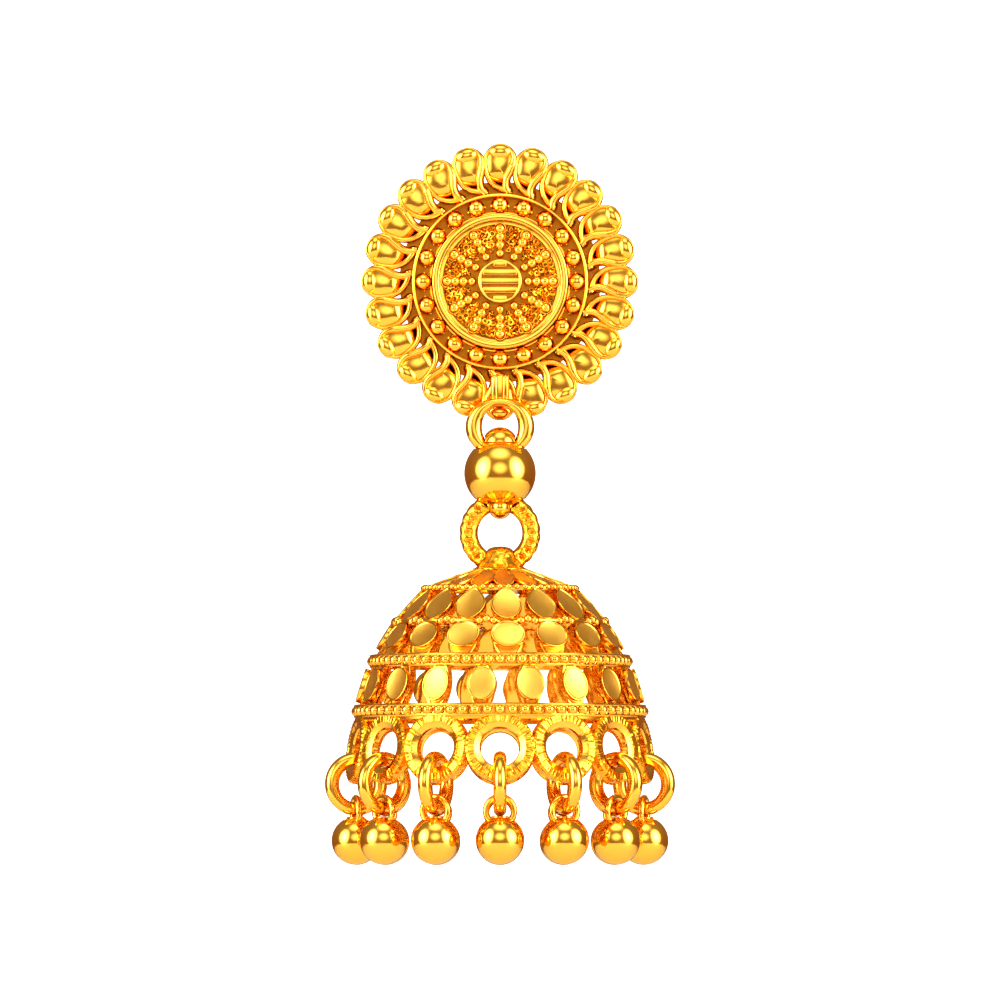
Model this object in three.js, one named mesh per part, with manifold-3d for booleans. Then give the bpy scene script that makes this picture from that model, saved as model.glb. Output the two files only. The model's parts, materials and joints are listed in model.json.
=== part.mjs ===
// A jhumka earring in yellow gold: a petalled stud disc with its ear post, a plain ring, a ball, a hammered
// ring, and a pierced bell whose rim carries a fringe of loops, links and balls.
// Millimetres, +Z up, the front of the earring looks along -Y. The origin is on the axis of the ear post,
// at the back face of the stud.
import * as THREE from 'three';
import { mergeVertices } from 'three/addons/utils/BufferGeometryUtils.js';
import Module from 'manifold-3d';

const wasm = await Module();
wasm.setup();

// Stud disc, in its own frame: x to the right, y up, z out of the face, z = 0 on its flat back
const petalCount = 24;
const petalTipRadius = 11.15; // centre of the disc to the tip of a petal
const petalHeadOverlap = 0.043894; // each head into the next along their circle, so that they are soldered together
// Across the head, from the heads' pitch on the circle of their centres, half a width inside the tips
const petalWidth = (2 * Math.PI * petalTipRadius / petalCount + petalHeadOverlap) / (1 + Math.PI / petalCount);
const petalTailClearance = 0.3; // the tray's edge to the end of a petal's tail
const petalTailSweep = 0.85; // how far the tail is carried round, clockwise from the front
const petalTailWidth = 0.72;
const petalBack = 0.3;
const petalThickness = 1.3;
const wreathRingWidth = 0.6; // the hidden ring that the tails are soldered to
const wreathRingThickness = 0.7;

// The edges of a petal's tail, as shares of half the petal's width and of its length from the tail's end
const petalLeadingEdge = [{ across: 0.35, along: 0.22 }, { across: 0.55, along: 0.38 }];
const petalTrailingEdge = [{ across: -0.75, along: 0.36 }];

const trayRadius = 7.05;
const trayThickness = 0.8;
const trayRimWidth = 0.22;
const trayRimHeight = 0.95;
const trayBeadCount = 20;
const trayBeadRadius = 0.69;
const trayBeadInset = 0.92; // the tray's edge to the middle of a bead
const trayBeadSink = 0.03; // the middle of a bead below the tray's floor

const bezelClearance = 0.05; // the beads to the bezel
const bezelWidth = 0.58;
const bezelHeight = 1.6;
const bezelRound = 0.19;

const medallionThickness = 0.6;
const medallionRibCount = 12;
const medallionRibWidth = 0.5;
const medallionRibHeight = 0.32;
const buttonRadius = 1.74;
const buttonHeight = 0.75;
const buttonRimWidth = 0.24;
const buttonGrooveCount = 4;
const buttonGroovePitch = 0.74;
const buttonGrooveWidth = 0.24;
const buttonGrooveDepth = 0.3;

const pieceGap = 0.1; // between pieces of the stud that are pressed together

// Ear post, behind the disc, on a collar that lies flush in the tray's back
const postRadius = 0.42;
const postLength = 11;
const postPoint = 0.4; // length of its pointed tip
const postCollarRadius = 1.7;
const postCollarThickness = 0.4;

// Upper ring, an oval band that hangs in front of the lowest petals from a ribbed strap
const upperRingHalfWidth = 2.75;
const upperRingHalfHeight = 2.36;
const upperRingHoleHalfWidth = 1.45;
const upperRingHoleHalfHeight = 1.68;
const upperRingDepth = 1.15;
const upperRingBevel = 0.25;
const upperRingDrop = 11.68; // centre of the ring below the ear post
const strapWidth = 1.5;
const strapClearance = 0.45; // the tray's edge to the top of the strap
const strapThickness = 0.7;
const strapGrooveWidth = 0.34;

// Ball, whose cap and foot are the eyes for the two rings
const ballRadius = 2.86;
const capRadius = 1.45;
const capRise = 0.82; // the cap's top above the top of the ball
const footHalfWidth = 0.95;
const footHalfDepth = 1.4;
const footFall = 0.82; // the foot's lowest point below the ball
const ringSink = 1.52; // how far the foot of the upper ring reaches into the ball

// Lower ring, round, hammered
const lowerRingRadius = 3.24;
const lowerRingHoleRadius = 1.78;
const lowerRingDepth = 1.3;
const lowerRingChamfer = 0.44;
const lowerRingSink = 1.32; // how far its top reaches into the ball

// Running clearance of a ring in its eye, and the swing that the eyes are cut for
const eyeClearance = 0.2;
const ballSwing = 25;
const lowerRingSwing = 20;

// Bell
const bellRadius = 11.75; // at the lower bead band
const bellHeight = 12.1; // from the crown under the bail to the lower edge of the flange
const bellRingSink = 0.22; // how far the lower ring dips into the crown
const bailRadius = 2.15; // at its foot
const bailTopWall = 0.5;
const bailRoot = 1.05; // the solder under the crown
const leafCount = 16;
const leafWidth = 1.62;
const plateThickness = 0.55;
const plateProud = 0.25; // the plates' faces stand out past the dome
const dropletCount = 16;
const dropletWidth = 2.3;
const ovalWidth = 2.62;
const uprightCount = 18;
const uprightWidth = 2.26;
const plateEndGap = 0.2; // between two rows' plates, inside the wire that both are soldered into
const bandHeight = 0.8;
const bandProud = 0.4; // the wires and bead bands stand out past the dome
const bandDepth = 0.85;
const wireThickness = 0.6;
const wireProud = 0.2;
const firstPlateAzimuth = 4;
const firstUprightAzimuth = 12.6;

// Fringe on the rim of the bell
const fringeCount = 14;
const loopRadius = 2.8;
const loopHoleRadius = 1.54;
const loopDepth = 1.0;
const loopBevel = 0.22;
const loopTilt = 8; // the foot of each loop leans out
const loopLap = 0.6; // the top of each loop laps over the flange
const linkRadius = 2.5;
const linkWireRadius = 0.52;
const linkPlay = 0.2;
const dropRadius = 1.92;
const dropEyeRadius = 1.36;
const dropEyeWireRadius = 0.25;
const dropEyeReach = 144; // the eye's arch, from its top to where each end is soldered into the ball
const dropEyePlay = 0.12;
const dropGap = 0.1; // link to ball

// Facets of the round pieces: sides round an axis, and rows from pole to pole
const discSides = trayBeadCount;
const petalHeadSides = 6;
const postSides = 10;
const beadSides = 10;
const trayBeadRows = 3;
const hangerRingSides = 16;
const hangerCutterSides = 10;
const ballSides = 12;
const ballRows = 8;
const ballEyeSides = 10;
const ballEyeRows = 4;
const lowerRingSides = 16;
const lowerRingCutterSides = 14;
const bailSides = 12;
const bailCutterSides = 20;
const dropletFootSides = 4;
const ovalSides = 8;
const loopSides = 10;
const linkSides = 10;
const wireSides = 5;
const dropSides = 10;
const dropRows = 6;
const dropEyeSteps = 6;

const goldPolished = new THREE.MeshStandardMaterial({ color: 0xf6c23c, roughness: 0.15, metalness: 1 });
const goldSatin = new THREE.MeshStandardMaterial({ color: 0xf4c550, roughness: 0.38, metalness: 1 });
const goldHammered = new THREE.MeshStandardMaterial({ color: 0xefb63a, roughness: 0.28, metalness: 1 });

const radians = THREE.MathUtils.degToRad;
const earring = new THREE.Group();

// Joining and cutting closed meshes

function toSolid(geometry) {
  const plain = geometry.clone();
  plain.deleteAttribute('normal');
  plain.deleteAttribute('uv');
  const merged = mergeVertices(plain, 1e-4);
  const vertProperties = new Float32Array(merged.attributes.position.array);
  const triVerts = new Uint32Array(merged.index.array);
  return new wasm.Manifold(new wasm.Mesh({ numProp: 3, vertProperties, triVerts }));
}

function toGeometry(solid) {
  const mesh = solid.getMesh();
  const geometry = new THREE.BufferGeometry();
  geometry.setAttribute('position', new THREE.BufferAttribute(new Float32Array(mesh.vertProperties), 3));
  geometry.setIndex(new THREE.BufferAttribute(new Uint32Array(mesh.triVerts), 1));
  geometry.computeVertexNormals();
  return geometry;
}

function fuse(geometries) {
  return geometries.map(toSolid).reduce((whole, solid) => whole.add(solid));
}

function cutAway(solid, geometries) {
  return geometries.map(toSolid).reduce((rest, cutter) => rest.subtract(cutter), solid);
}

function addMesh(parent, name, geometry, material) {
  const mesh = new THREE.Mesh(geometry, material);
  mesh.name = name;
  parent.add(mesh);
  return mesh;
}

// Shapes that several pieces share

function turned(points, sides) {
  const profile = points.map(([radius, height]) => new THREE.Vector2(radius, height));
  return new THREE.LatheGeometry(profile, sides);
}

// A solid or ring turned about Z, from a profile of [radius, z] pairs that runs upwards on its outside
function turnedAboutZ(points, sides) {
  return turned(points, sides).rotateX(Math.PI / 2);
}

function ball(radius, sides, rows) {
  return new THREE.SphereGeometry(radius, sides, rows).rotateX(Math.PI / 2);
}

// A flat shape given thickness, with so many sides on each of its arcs
function extruded(shape, depth, bevel, arcSides) {
  const geometry = new THREE.ExtrudeGeometry(shape, {
    depth: depth - 2 * bevel,
    bevelEnabled: bevel > 0,
    bevelThickness: bevel,
    bevelSize: bevel,
    bevelOffset: -bevel,
    bevelSegments: 1,
    curveSegments: arcSides / 2,
  });
  return geometry.translate(0, 0, bevel);
}

function ellipse(halfWidth, halfHeight) {
  return new THREE.Shape().absellipse(0, 0, halfWidth, halfHeight, 0, 2 * Math.PI);
}

// Stud disc

const stud = new THREE.Group();
stud.rotation.x = Math.PI / 2;
earring.add(stud);

// A comma: a round head at the rim of the disc, and a tail that sweeps in and clockwise
function petalShape() {
  const half = petalWidth / 2;
  const tailRadius = trayRadius + petalTailClearance;
  const length = petalTipRadius - tailRadius;
  const shape = new THREE.Shape();
  shape.moveTo(petalTailSweep, tailRadius);
  for (const { across, along } of petalLeadingEdge) {
    shape.lineTo(across * half, tailRadius + along * length);
  }
  shape.absarc(0, petalTipRadius - half, half, 0, Math.PI);
  for (const { across, along } of petalTrailingEdge) {
    shape.lineTo(across * half, tailRadius + along * length);
  }
  shape.lineTo(petalTailSweep - petalTailWidth, tailRadius);
  return shape;
}

function petalWreath() {
  const petals = [];
  for (let i = 0; i < petalCount; i += 1) {
    const petal = extruded(petalShape(), petalThickness, 0, petalHeadSides);
    petal.translate(0, 0, petalBack).rotateZ((2 * Math.PI * i) / petalCount);
    petals.push(petal);
  }
  const inner = trayRadius + pieceGap;
  const outer = inner + wreathRingWidth;
  const ring = turnedAboutZ([
    [inner, petalBack], [outer, petalBack], [outer, petalBack + wreathRingThickness],
    [inner, petalBack + wreathRingThickness], [inner, petalBack],
  ], petalCount);
  return fuse([ring, ...petals]);
}
addMesh(stud, 'petal_wreath', toGeometry(petalWreath()), goldPolished);

const beadCircle = trayRadius - trayBeadInset;

// The tray has a seat in its back for the collar of the ear post
function beadTray() {
  const rimTop = trayThickness + trayRimHeight;
  const rimInner = trayRadius - trayRimWidth;
  const seatRadius = postCollarRadius + pieceGap;
  const seatDepth = postCollarThickness + pieceGap;
  const tray = turnedAboutZ([
    [0, seatDepth], [seatRadius, seatDepth], [seatRadius, 0], [trayRadius, 0], [trayRadius, rimTop],
    [rimInner, rimTop], [rimInner, trayThickness], [0, trayThickness],
  ], discSides);
  const beads = [];
  for (let i = 0; i < trayBeadCount; i += 1) {
    const angle = (2 * Math.PI * i) / trayBeadCount;
    const bead = ball(trayBeadRadius, beadSides, trayBeadRows);
    bead.translate(beadCircle * Math.sin(angle), beadCircle * Math.cos(angle),
      trayThickness - trayBeadSink);
    beads.push(bead);
  }
  return fuse([tray, ...beads]);
}
addMesh(stud, 'bead_tray', toGeometry(beadTray()), goldPolished);

const seatLevel = trayThickness + pieceGap;
const bezelOuterRadius = beadCircle - trayBeadRadius - bezelClearance;
const bezelInnerRadius = bezelOuterRadius - bezelWidth;
const bezelTop = seatLevel + bezelHeight;
addMesh(stud, 'bezel_ring', turnedAboutZ([
  [bezelInnerRadius, seatLevel], [bezelOuterRadius, seatLevel], [bezelOuterRadius, bezelTop - bezelRound],
  [bezelOuterRadius - bezelRound, bezelTop], [bezelInnerRadius, bezelTop], [bezelInnerRadius, seatLevel],
], discSides), goldPolished);

function centreDisc() {
  const radius = bezelInnerRadius - pieceGap;
  const floor = seatLevel + medallionThickness;
  const disc = turnedAboutZ([
    [0, seatLevel], [radius, seatLevel], [radius, floor], [0, floor],
  ], discSides);
  const button = turnedAboutZ([
    [0, seatLevel + pieceGap], [buttonRadius, seatLevel + pieceGap], [buttonRadius, floor + buttonHeight],
    [0, floor + buttonHeight],
  ], discSides);
  const ribs = [];
  const ribLength = radius - buttonRadius;
  for (let i = 0; i < medallionRibCount; i += 1) {
    const rib = new THREE.BoxGeometry(medallionRibWidth, ribLength, 2 * medallionRibHeight);
    rib.translate(0, buttonRadius + ribLength / 2 - pieceGap, floor);
    ribs.push(rib.rotateZ((2 * Math.PI * i) / medallionRibCount));
  }
  const grooves = [];
  for (let i = 0; i < buttonGrooveCount; i += 1) {
    const offset = (i - (buttonGrooveCount - 1) / 2) * buttonGroovePitch;
    const farEdge = Math.abs(offset) + buttonGrooveWidth / 2;
    const reach = Math.sqrt((buttonRadius - buttonRimWidth) ** 2 - farEdge ** 2);
    const groove = new THREE.BoxGeometry(2 * reach, buttonGrooveWidth, 2 * buttonGrooveDepth);
    grooves.push(groove.translate(0, offset, floor + buttonHeight));
  }
  return cutAway(fuse([disc, ...ribs, button]), grooves);
}
addMesh(stud, 'centre_disc', toGeometry(centreDisc()), goldSatin);

addMesh(stud, 'ear_post', turnedAboutZ([
  [0, -postLength], [postRadius, postPoint - postLength], [postRadius, 0], [postCollarRadius, 0],
  [postCollarRadius, postCollarThickness], [0, postCollarThickness],
], postSides), goldPolished);

// The oval band in the plane of the disc's face, made larger by grow on every side where it is a cutter
function upperRingBand(grow, bevel, sides) {
  const band = ellipse(upperRingHalfWidth + grow, upperRingHalfHeight + grow);
  band.holes.push(new THREE.Path().absellipse(0, 0, upperRingHoleHalfWidth - grow,
    upperRingHoleHalfHeight - grow, 0, 2 * Math.PI, true));
  const depth = upperRingDepth + 2 * grow;
  return extruded(band, depth, bevel, sides).translate(0, 0, -depth / 2);
}

const petalFront = petalBack + petalThickness;
const upperRingLevel = petalFront + pieceGap + upperRingDepth / 2;

function hangerRing() {
  const ring = upperRingBand(0, upperRingBevel, hangerRingSides);
  ring.translate(0, -upperRingDrop, upperRingLevel);
  const ringTop = upperRingDrop - upperRingHalfHeight;
  const strapTop = trayRadius + strapClearance;
  const length = ringTop - strapTop + (upperRingHalfHeight - upperRingHoleHalfHeight) / 2;
  const strap = new THREE.BoxGeometry(strapWidth, length, strapThickness);
  strap.translate(0, -strapTop - length / 2, petalFront + pieceGap + strapThickness / 2);
  const groove = new THREE.BoxGeometry(strapGrooveWidth, ringTop - strapTop, strapThickness);
  groove.translate(0, -strapTop - (ringTop - strapTop) / 2, petalFront + pieceGap + strapThickness);
  return cutAway(toSolid(strap), [groove]).add(toSolid(ring));
}
addMesh(stud, 'hanger_ring', toGeometry(hangerRing()), goldPolished);

// The drop hangs on one vertical axis, in the plane of the upper ring
const dropAxisY = -upperRingLevel;
const drop = new THREE.Group();
drop.position.y = dropAxisY;
earring.add(drop);

// Heights of the hanging pieces, each from the one above
const upperRingZ = -upperRingDrop;
const upperRingFootZ = upperRingZ - upperRingHalfHeight;
const ballPivotZ = upperRingZ - (upperRingHalfHeight + upperRingHoleHalfHeight) / 2;
const ballZ = upperRingFootZ + ringSink - ballRadius;
const lowerRingZ = ballZ - ballRadius + lowerRingSink - lowerRingRadius;
const lowerRingPivotZ = lowerRingZ + (lowerRingRadius + lowerRingHoleRadius) / 2;
const crownZ = lowerRingZ - lowerRingRadius + bellRingSink;

// The round ring about the Y axis, with chamfered edges
function lowerRingBand() {
  const outer = lowerRingRadius;
  const inner = lowerRingHoleRadius;
  const half = lowerRingDepth / 2;
  const chamfer = lowerRingChamfer;
  return turned([
    [inner, -half + chamfer], [inner + chamfer, -half], [outer - chamfer, -half], [outer, -half + chamfer],
    [outer, half - chamfer], [outer - chamfer, half], [inner + chamfer, half], [inner, half - chamfer],
    [inner, -half + chamfer],
  ], lowerRingSides);
}

// The square-edged room that the round ring needs in an eye
function lowerRingCutter(sides) {
  const outer = lowerRingRadius + eyeClearance;
  const inner = lowerRingHoleRadius - eyeClearance;
  const half = lowerRingDepth / 2 + eyeClearance;
  return turned([[inner, -half], [outer, -half], [outer, half], [inner, half], [inner, -half]], sides);
}

// A ring's passage through an eye: copies of the ring turned about the eye's pin line between its limits
function swingPassage(ring, ringZ, pivotZ, swing) {
  return [-swing, 0, swing].map((angle) => ring.clone()
    .translate(0, 0, ringZ - pivotZ)
    .rotateX(radians(angle))
    .translate(0, 0, pivotZ));
}

function connectorBall() {
  const body = ball(ballRadius, ballSides, ballRows).translate(0, 0, ballZ);
  const cap = ball(capRadius, ballEyeSides, ballEyeRows);
  cap.translate(0, 0, ballZ + ballRadius + capRise - capRadius);
  const foot = ball(1, ballEyeSides, ballEyeRows).scale(footHalfWidth, footHalfDepth, footHalfWidth);
  foot.translate(0, 0, ballZ - ballRadius - footFall + footHalfWidth);
  const upperRing = upperRingBand(eyeClearance, 0, hangerCutterSides).rotateX(Math.PI / 2);
  const lowerRing = lowerRingCutter(lowerRingCutterSides);
  return cutAway(fuse([body, cap, foot]), [
    ...swingPassage(upperRing, upperRingZ, ballPivotZ, ballSwing),
    ...swingPassage(lowerRing, lowerRingZ, lowerRingPivotZ, lowerRingSwing),
  ]);
}
addMesh(drop, 'connector_ball', toGeometry(connectorBall()), goldPolished);
addMesh(drop, 'lower_ring', lowerRingBand(), goldHammered).position.z = lowerRingZ;

// Bell. The dome's outside runs through these sections, as shares of the bell's radius and of its height
// downwards
const domeSections = [
  { radius: 0.16, fall: 0.0 },
  { radius: 0.34, fall: 0.03 },
  { radius: 0.5, fall: 0.12 },
  { radius: 0.585, fall: 0.2 },
  { radius: 0.7, fall: 0.335 },
  { radius: 0.79, fall: 0.47 },
  { radius: 0.87, fall: 0.6 },
  { radius: 0.93, fall: 0.7 },
  { radius: 0.965, fall: 0.8 },
  { radius: 0.975, fall: 0.9 },
  { radius: 0.98, fall: 1.0 },
];
const domeCurve = new THREE.SplineCurve(domeSections.map(({ radius, fall }) => new THREE.Vector2(
  radius * bellRadius, crownZ - fall * bellHeight)));

// The point of the dome's outside that lies a share of its height below the crown, found by halving
function domeAt(fall) {
  const halvings = 30;
  let low = 0;
  let high = 1;
  for (let step = 0; step < halvings; step += 1) {
    const middle = (low + high) / 2;
    if (crownZ - domeCurve.getPoint(middle).y < fall * bellHeight) low = middle;
    else high = middle;
  }
  const point = domeCurve.getPoint(low);
  return { radius: point.x, z: point.y };
}

// Levels of the bell's rows, as shares of its height
const wireLevels = { leafWire: 0.125, clusterWire: 0.345 };
const bandLevels = { upper: 0.6, lower: 0.93 };
const sunk = plateEndGap / 2 / bellHeight;
const plateRows = {
  leaf: { top: 0, foot: wireLevels.leafWire - sunk },
  droplet: { top: wireLevels.leafWire + sunk, foot: wireLevels.clusterWire - sunk },
  oval: { top: wireLevels.clusterWire + sunk, foot: bandLevels.upper - sunk },
  upright: { top: bandLevels.upper + sunk, foot: bandLevels.lower - sunk },
};

// Lays a plate drawn with its tip upwards on the dome, flat between the two levels, facing outwards
function layOnDome(plate, row, azimuth) {
  const top = domeAt(row.top);
  const foot = domeAt(row.foot);
  const up = new THREE.Vector3(0, foot.radius - top.radius, top.z - foot.z).normalize();
  const across = new THREE.Vector3(1, 0, 0);
  const outwards = new THREE.Vector3().crossVectors(across, up);
  const middle = new THREE.Vector3(0, -(top.radius + foot.radius) / 2, (top.z + foot.z) / 2);
  const frame = new THREE.Matrix4().makeBasis(across, up, outwards).setPosition(middle);
  return plate.applyMatrix4(frame).rotateZ(radians(azimuth));
}

function rowLength(row) {
  const top = domeAt(row.top);
  const foot = domeAt(row.foot);
  return Math.hypot(foot.radius - top.radius, foot.z - top.z);
}

// One edge of a leaf, and the shoulder of a droplet, as shares of width and of length from the middle upwards
const leafEdge = [{ across: 0.2, along: 0.5 }, { across: 0.5, along: -0.25 }, { across: 0.3, along: -0.5 }];
const dropletShoulder = { across: 0.34, along: 0.1 };

function leafShape(width, length) {
  const left = leafEdge.map(({ across, along }) => new THREE.Vector2(-across * width, along * length));
  const right = leafEdge.map(({ across, along }) => new THREE.Vector2(across * width, along * length));
  return new THREE.Shape([...left, ...right.reverse()]);
}

function dropletShape(width, length) {
  const half = width / 2;
  const { across, along } = dropletShoulder;
  const shape = new THREE.Shape();
  shape.moveTo(0, length / 2);
  shape.lineTo(-across * width, along * length);
  shape.absarc(0, half - length / 2, half, Math.PI, 2 * Math.PI);
  shape.lineTo(across * width, along * length);
  return shape;
}

function plateField(shape, row, count, firstAzimuth, arcSides) {
  const plates = [];
  for (let i = 0; i < count; i += 1) {
    const plate = extruded(shape, plateThickness, 0, arcSides);
    plate.translate(0, 0, plateProud - plateThickness);
    plates.push(layOnDome(plate, row, firstAzimuth + (360 * i) / count));
  }
  return plates;
}

// A wire round the dome, square in section, thick enough to hold the ends of its plates
function domeWire(level, height, depth, proud, sides) {
  const { radius, z } = domeAt(level);
  const outer = radius + proud;
  const inner = outer - depth;
  return turnedAboutZ([
    [inner, z - height / 2], [outer, z - height / 2], [outer, z + height / 2], [inner, z + height / 2],
    [inner, z - height / 2],
  ], sides);
}

// The bail: a dome that the lower ring runs through, on a flared foot that closes the crown. Its outside runs
// through these sections, as shares of the foot's radius and of the rise above the crown
const bailSections = [
  { radius: 1, rise: 0.05 },
  { radius: 0.8, rise: 0.3 },
  { radius: 0.605, rise: 0.58 },
  { radius: 0.435, rise: 0.9 },
  { radius: 0, rise: 1 },
];

function bailBody() {
  const top = lowerRingZ - lowerRingHoleRadius + eyeClearance + bailTopWall;
  const rises = top - crownZ;
  const outside = bailSections.map(({ radius, rise }) => [radius * bailRadius, crownZ + rise * rises]);
  return turnedAboutZ([[0, crownZ - bailRoot], [bailRadius, crownZ - bailRoot], ...outside], bailSides);
}

// One hammered loop of the rim, in the plane across its azimuth, narrower at its hole
function rimLoop(azimuth, centreRadius, centreZ) {
  const half = loopDepth / 2;
  const loop = turned([
    [loopHoleRadius, -half + loopBevel], [loopRadius, -half], [loopRadius, half],
    [loopHoleRadius, half - loopBevel], [loopHoleRadius, -half + loopBevel],
  ], loopSides);
  return loop.rotateX(-radians(loopTilt)).translate(0, -centreRadius, centreZ).rotateZ(radians(azimuth));
}

const rim = domeAt(1);
const loopTiltRise = Math.cos(radians(loopTilt));
const loopTiltReach = Math.sin(radians(loopTilt));
const loopZ = rim.z + loopLap - loopRadius * loopTiltRise;
const loopCircle = rim.radius - bandDepth / 2 + loopRadius * loopTiltReach;
const loopWireRadius = (loopRadius + loopHoleRadius) / 2;
const linkCircle = loopCircle + loopWireRadius * loopTiltReach;

function bell() {
  const leaves = leafShape(leafWidth, rowLength(plateRows.leaf));
  const droplets = dropletShape(dropletWidth, rowLength(plateRows.droplet));
  const ovals = ellipse(ovalWidth / 2, rowLength(plateRows.oval) / 2);
  const uprights = ellipse(uprightWidth / 2, rowLength(plateRows.upright) / 2);
  const lowerBand = domeAt(bandLevels.lower);
  const flange = turnedAboutZ([
    [rim.radius - bandDepth, rim.z], [rim.radius, rim.z],
    [lowerBand.radius + bandProud, lowerBand.z - bandHeight / 2],
    [lowerBand.radius + bandProud, lowerBand.z + bandHeight / 2],
    [rim.radius - bandDepth, lowerBand.z + bandHeight / 2], [rim.radius - bandDepth, rim.z],
  ], 2 * fringeCount);
  const loops = [];
  for (let i = 0; i < fringeCount; i += 1) {
    loops.push(rimLoop((360 * i) / fringeCount, loopCircle, loopZ));
  }
  const solid = fuse([
    bailBody(),
    ...plateField(leaves, plateRows.leaf, leafCount, firstPlateAzimuth, ovalSides),
    domeWire(wireLevels.leafWire, wireThickness, wireThickness, wireProud, leafCount)
      .rotateZ(radians(firstPlateAzimuth + 180 / leafCount)),
    ...plateField(droplets, plateRows.droplet, dropletCount, firstPlateAzimuth, dropletFootSides),
    domeWire(wireLevels.clusterWire, wireThickness, wireThickness, wireProud, dropletCount)
      .rotateZ(radians(firstPlateAzimuth + 180 / dropletCount)),
    ...plateField(ovals, plateRows.oval, dropletCount, firstPlateAzimuth, ovalSides),
    domeWire(bandLevels.upper, bandHeight, bandDepth, bandProud, uprightCount)
      .rotateZ(radians(firstUprightAzimuth + 180 / uprightCount)),
    ...plateField(uprights, plateRows.upright, uprightCount, firstUprightAzimuth, ovalSides),
    flange,
    ...loops,
  ]);
  const ringPassage = lowerRingCutter(bailCutterSides).translate(0, 0, lowerRingZ);
  return cutAway(solid, [ringPassage]);
}
addMesh(drop, 'bell', toGeometry(bell()), goldSatin);

// Fringe: each link hangs in its loop, and each ball in its link
const loopFootZ = loopZ - loopHoleRadius * loopTiltRise;
const linkHoleRadius = linkRadius - 2 * linkWireRadius;
const linkZ = loopFootZ + linkPlay - linkHoleRadius;
const dropEyeZ = linkZ - linkHoleRadius + dropEyePlay - (dropEyeRadius - 2 * dropEyeWireRadius);
const dropZ = linkZ - linkRadius - dropGap - dropRadius;

const linkRing = new THREE.TorusGeometry(linkRadius - linkWireRadius, linkWireRadius, wireSides, linkSides);
linkRing.rotateY(Math.PI / 2);

function wireSection(radius) {
  const corners = [];
  for (let i = 0; i < wireSides; i += 1) {
    const angle = (2 * Math.PI * i) / wireSides;
    corners.push(new THREE.Vector2(radius * Math.cos(angle), radius * Math.sin(angle)));
  }
  return new THREE.Shape(corners);
}

// The eye is an arch of wire whose two ends are soldered into the ball
function dropEyeArch() {
  const pathRadius = dropEyeRadius - dropEyeWireRadius;
  const points = [];
  for (let i = 0; i <= dropEyeSteps; i += 1) {
    const angle = radians(dropEyeReach) * ((2 * i) / dropEyeSteps - 1);
    points.push(new THREE.Vector3(pathRadius * Math.sin(angle), 0,
      dropEyeZ - dropZ + pathRadius * Math.cos(angle)));
  }
  const extrudePath = new THREE.CatmullRomCurve3(points);
  return new THREE.ExtrudeGeometry(wireSection(dropEyeWireRadius), { steps: dropEyeSteps, extrudePath });
}
const dropBall = toGeometry(fuse([ball(dropRadius, dropSides, dropRows), dropEyeArch()]));

for (let i = 0; i < fringeCount; i += 1) {
  const angle = (2 * Math.PI * i) / fringeCount;
  const number = String(i + 1).padStart(2, '0');
  const link = addMesh(drop, `link_${number}`, linkRing, goldPolished);
  link.position.set(linkCircle * Math.sin(angle), -linkCircle * Math.cos(angle), linkZ);
  link.rotation.z = angle;
  const fringeBall = addMesh(drop, `drop_ball_${number}`, dropBall, goldPolished);
  fringeBall.position.set(linkCircle * Math.sin(angle), -linkCircle * Math.cos(angle), dropZ);
  fringeBall.rotation.z = angle;
}

export default earring;
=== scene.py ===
import json
import logging
import math
import random
from collections.abc import Callable, Iterable, Sequence
from dataclasses import dataclass, field
from enum import Enum

import bpy
from mathutils import Matrix, Vector


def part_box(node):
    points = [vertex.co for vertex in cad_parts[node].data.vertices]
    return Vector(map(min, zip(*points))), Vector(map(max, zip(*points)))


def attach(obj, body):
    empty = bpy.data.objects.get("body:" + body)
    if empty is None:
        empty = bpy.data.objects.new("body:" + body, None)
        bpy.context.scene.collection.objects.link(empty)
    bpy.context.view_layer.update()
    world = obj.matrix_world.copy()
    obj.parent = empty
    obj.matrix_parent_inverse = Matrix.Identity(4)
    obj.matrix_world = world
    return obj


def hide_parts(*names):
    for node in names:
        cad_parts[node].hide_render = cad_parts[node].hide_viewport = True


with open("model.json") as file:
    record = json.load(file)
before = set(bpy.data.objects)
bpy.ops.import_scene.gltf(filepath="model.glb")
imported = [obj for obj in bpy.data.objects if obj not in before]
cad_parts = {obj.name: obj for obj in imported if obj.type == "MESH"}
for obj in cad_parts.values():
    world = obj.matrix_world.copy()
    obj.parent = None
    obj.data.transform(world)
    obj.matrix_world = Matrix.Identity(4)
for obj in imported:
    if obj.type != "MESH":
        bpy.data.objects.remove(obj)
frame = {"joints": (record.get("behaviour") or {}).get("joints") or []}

LOG = logging.getLogger("jhumka")
MM = 0.001
TAU = math.tau
QUARTER = math.radians(90)
Profile = Sequence[tuple[float, float]]
Piece = bpy.types.Object
# Wire radius of the rings of radius 1 that are laid along an outline
UNIT_WIRE = 0.5
# From the hammered ring's foot up to the level where the dome begins
CROWN_ABOVE_RING = 0.22


class Body(Enum):
    """The bodies of the frame that pieces ride on."""

    STUD = "stud"
    BALL = "ball"
    RING = "ring"
    BELL = "bell"


class Slot(Enum):
    """The record's material slots."""

    POLISHED = "polished_gold"
    GRANULATED = "granulated_gold"
    HAMMERED = "hammered_gold"
    SATIN = "satin_gold"


# Modelling in millimetres, brought to metres when a piece is finished


def start() -> None:
    """Leaves edit mode and deselects everything."""
    if bpy.context.object and bpy.context.object.mode != "OBJECT":
        bpy.ops.object.mode_set(mode="OBJECT")
    bpy.ops.object.select_all(action="DESELECT")


def only(piece: Piece) -> None:
    """Makes one piece the selected and active one."""
    start()
    piece.select_set(True)
    bpy.context.view_layer.objects.active = piece


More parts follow.
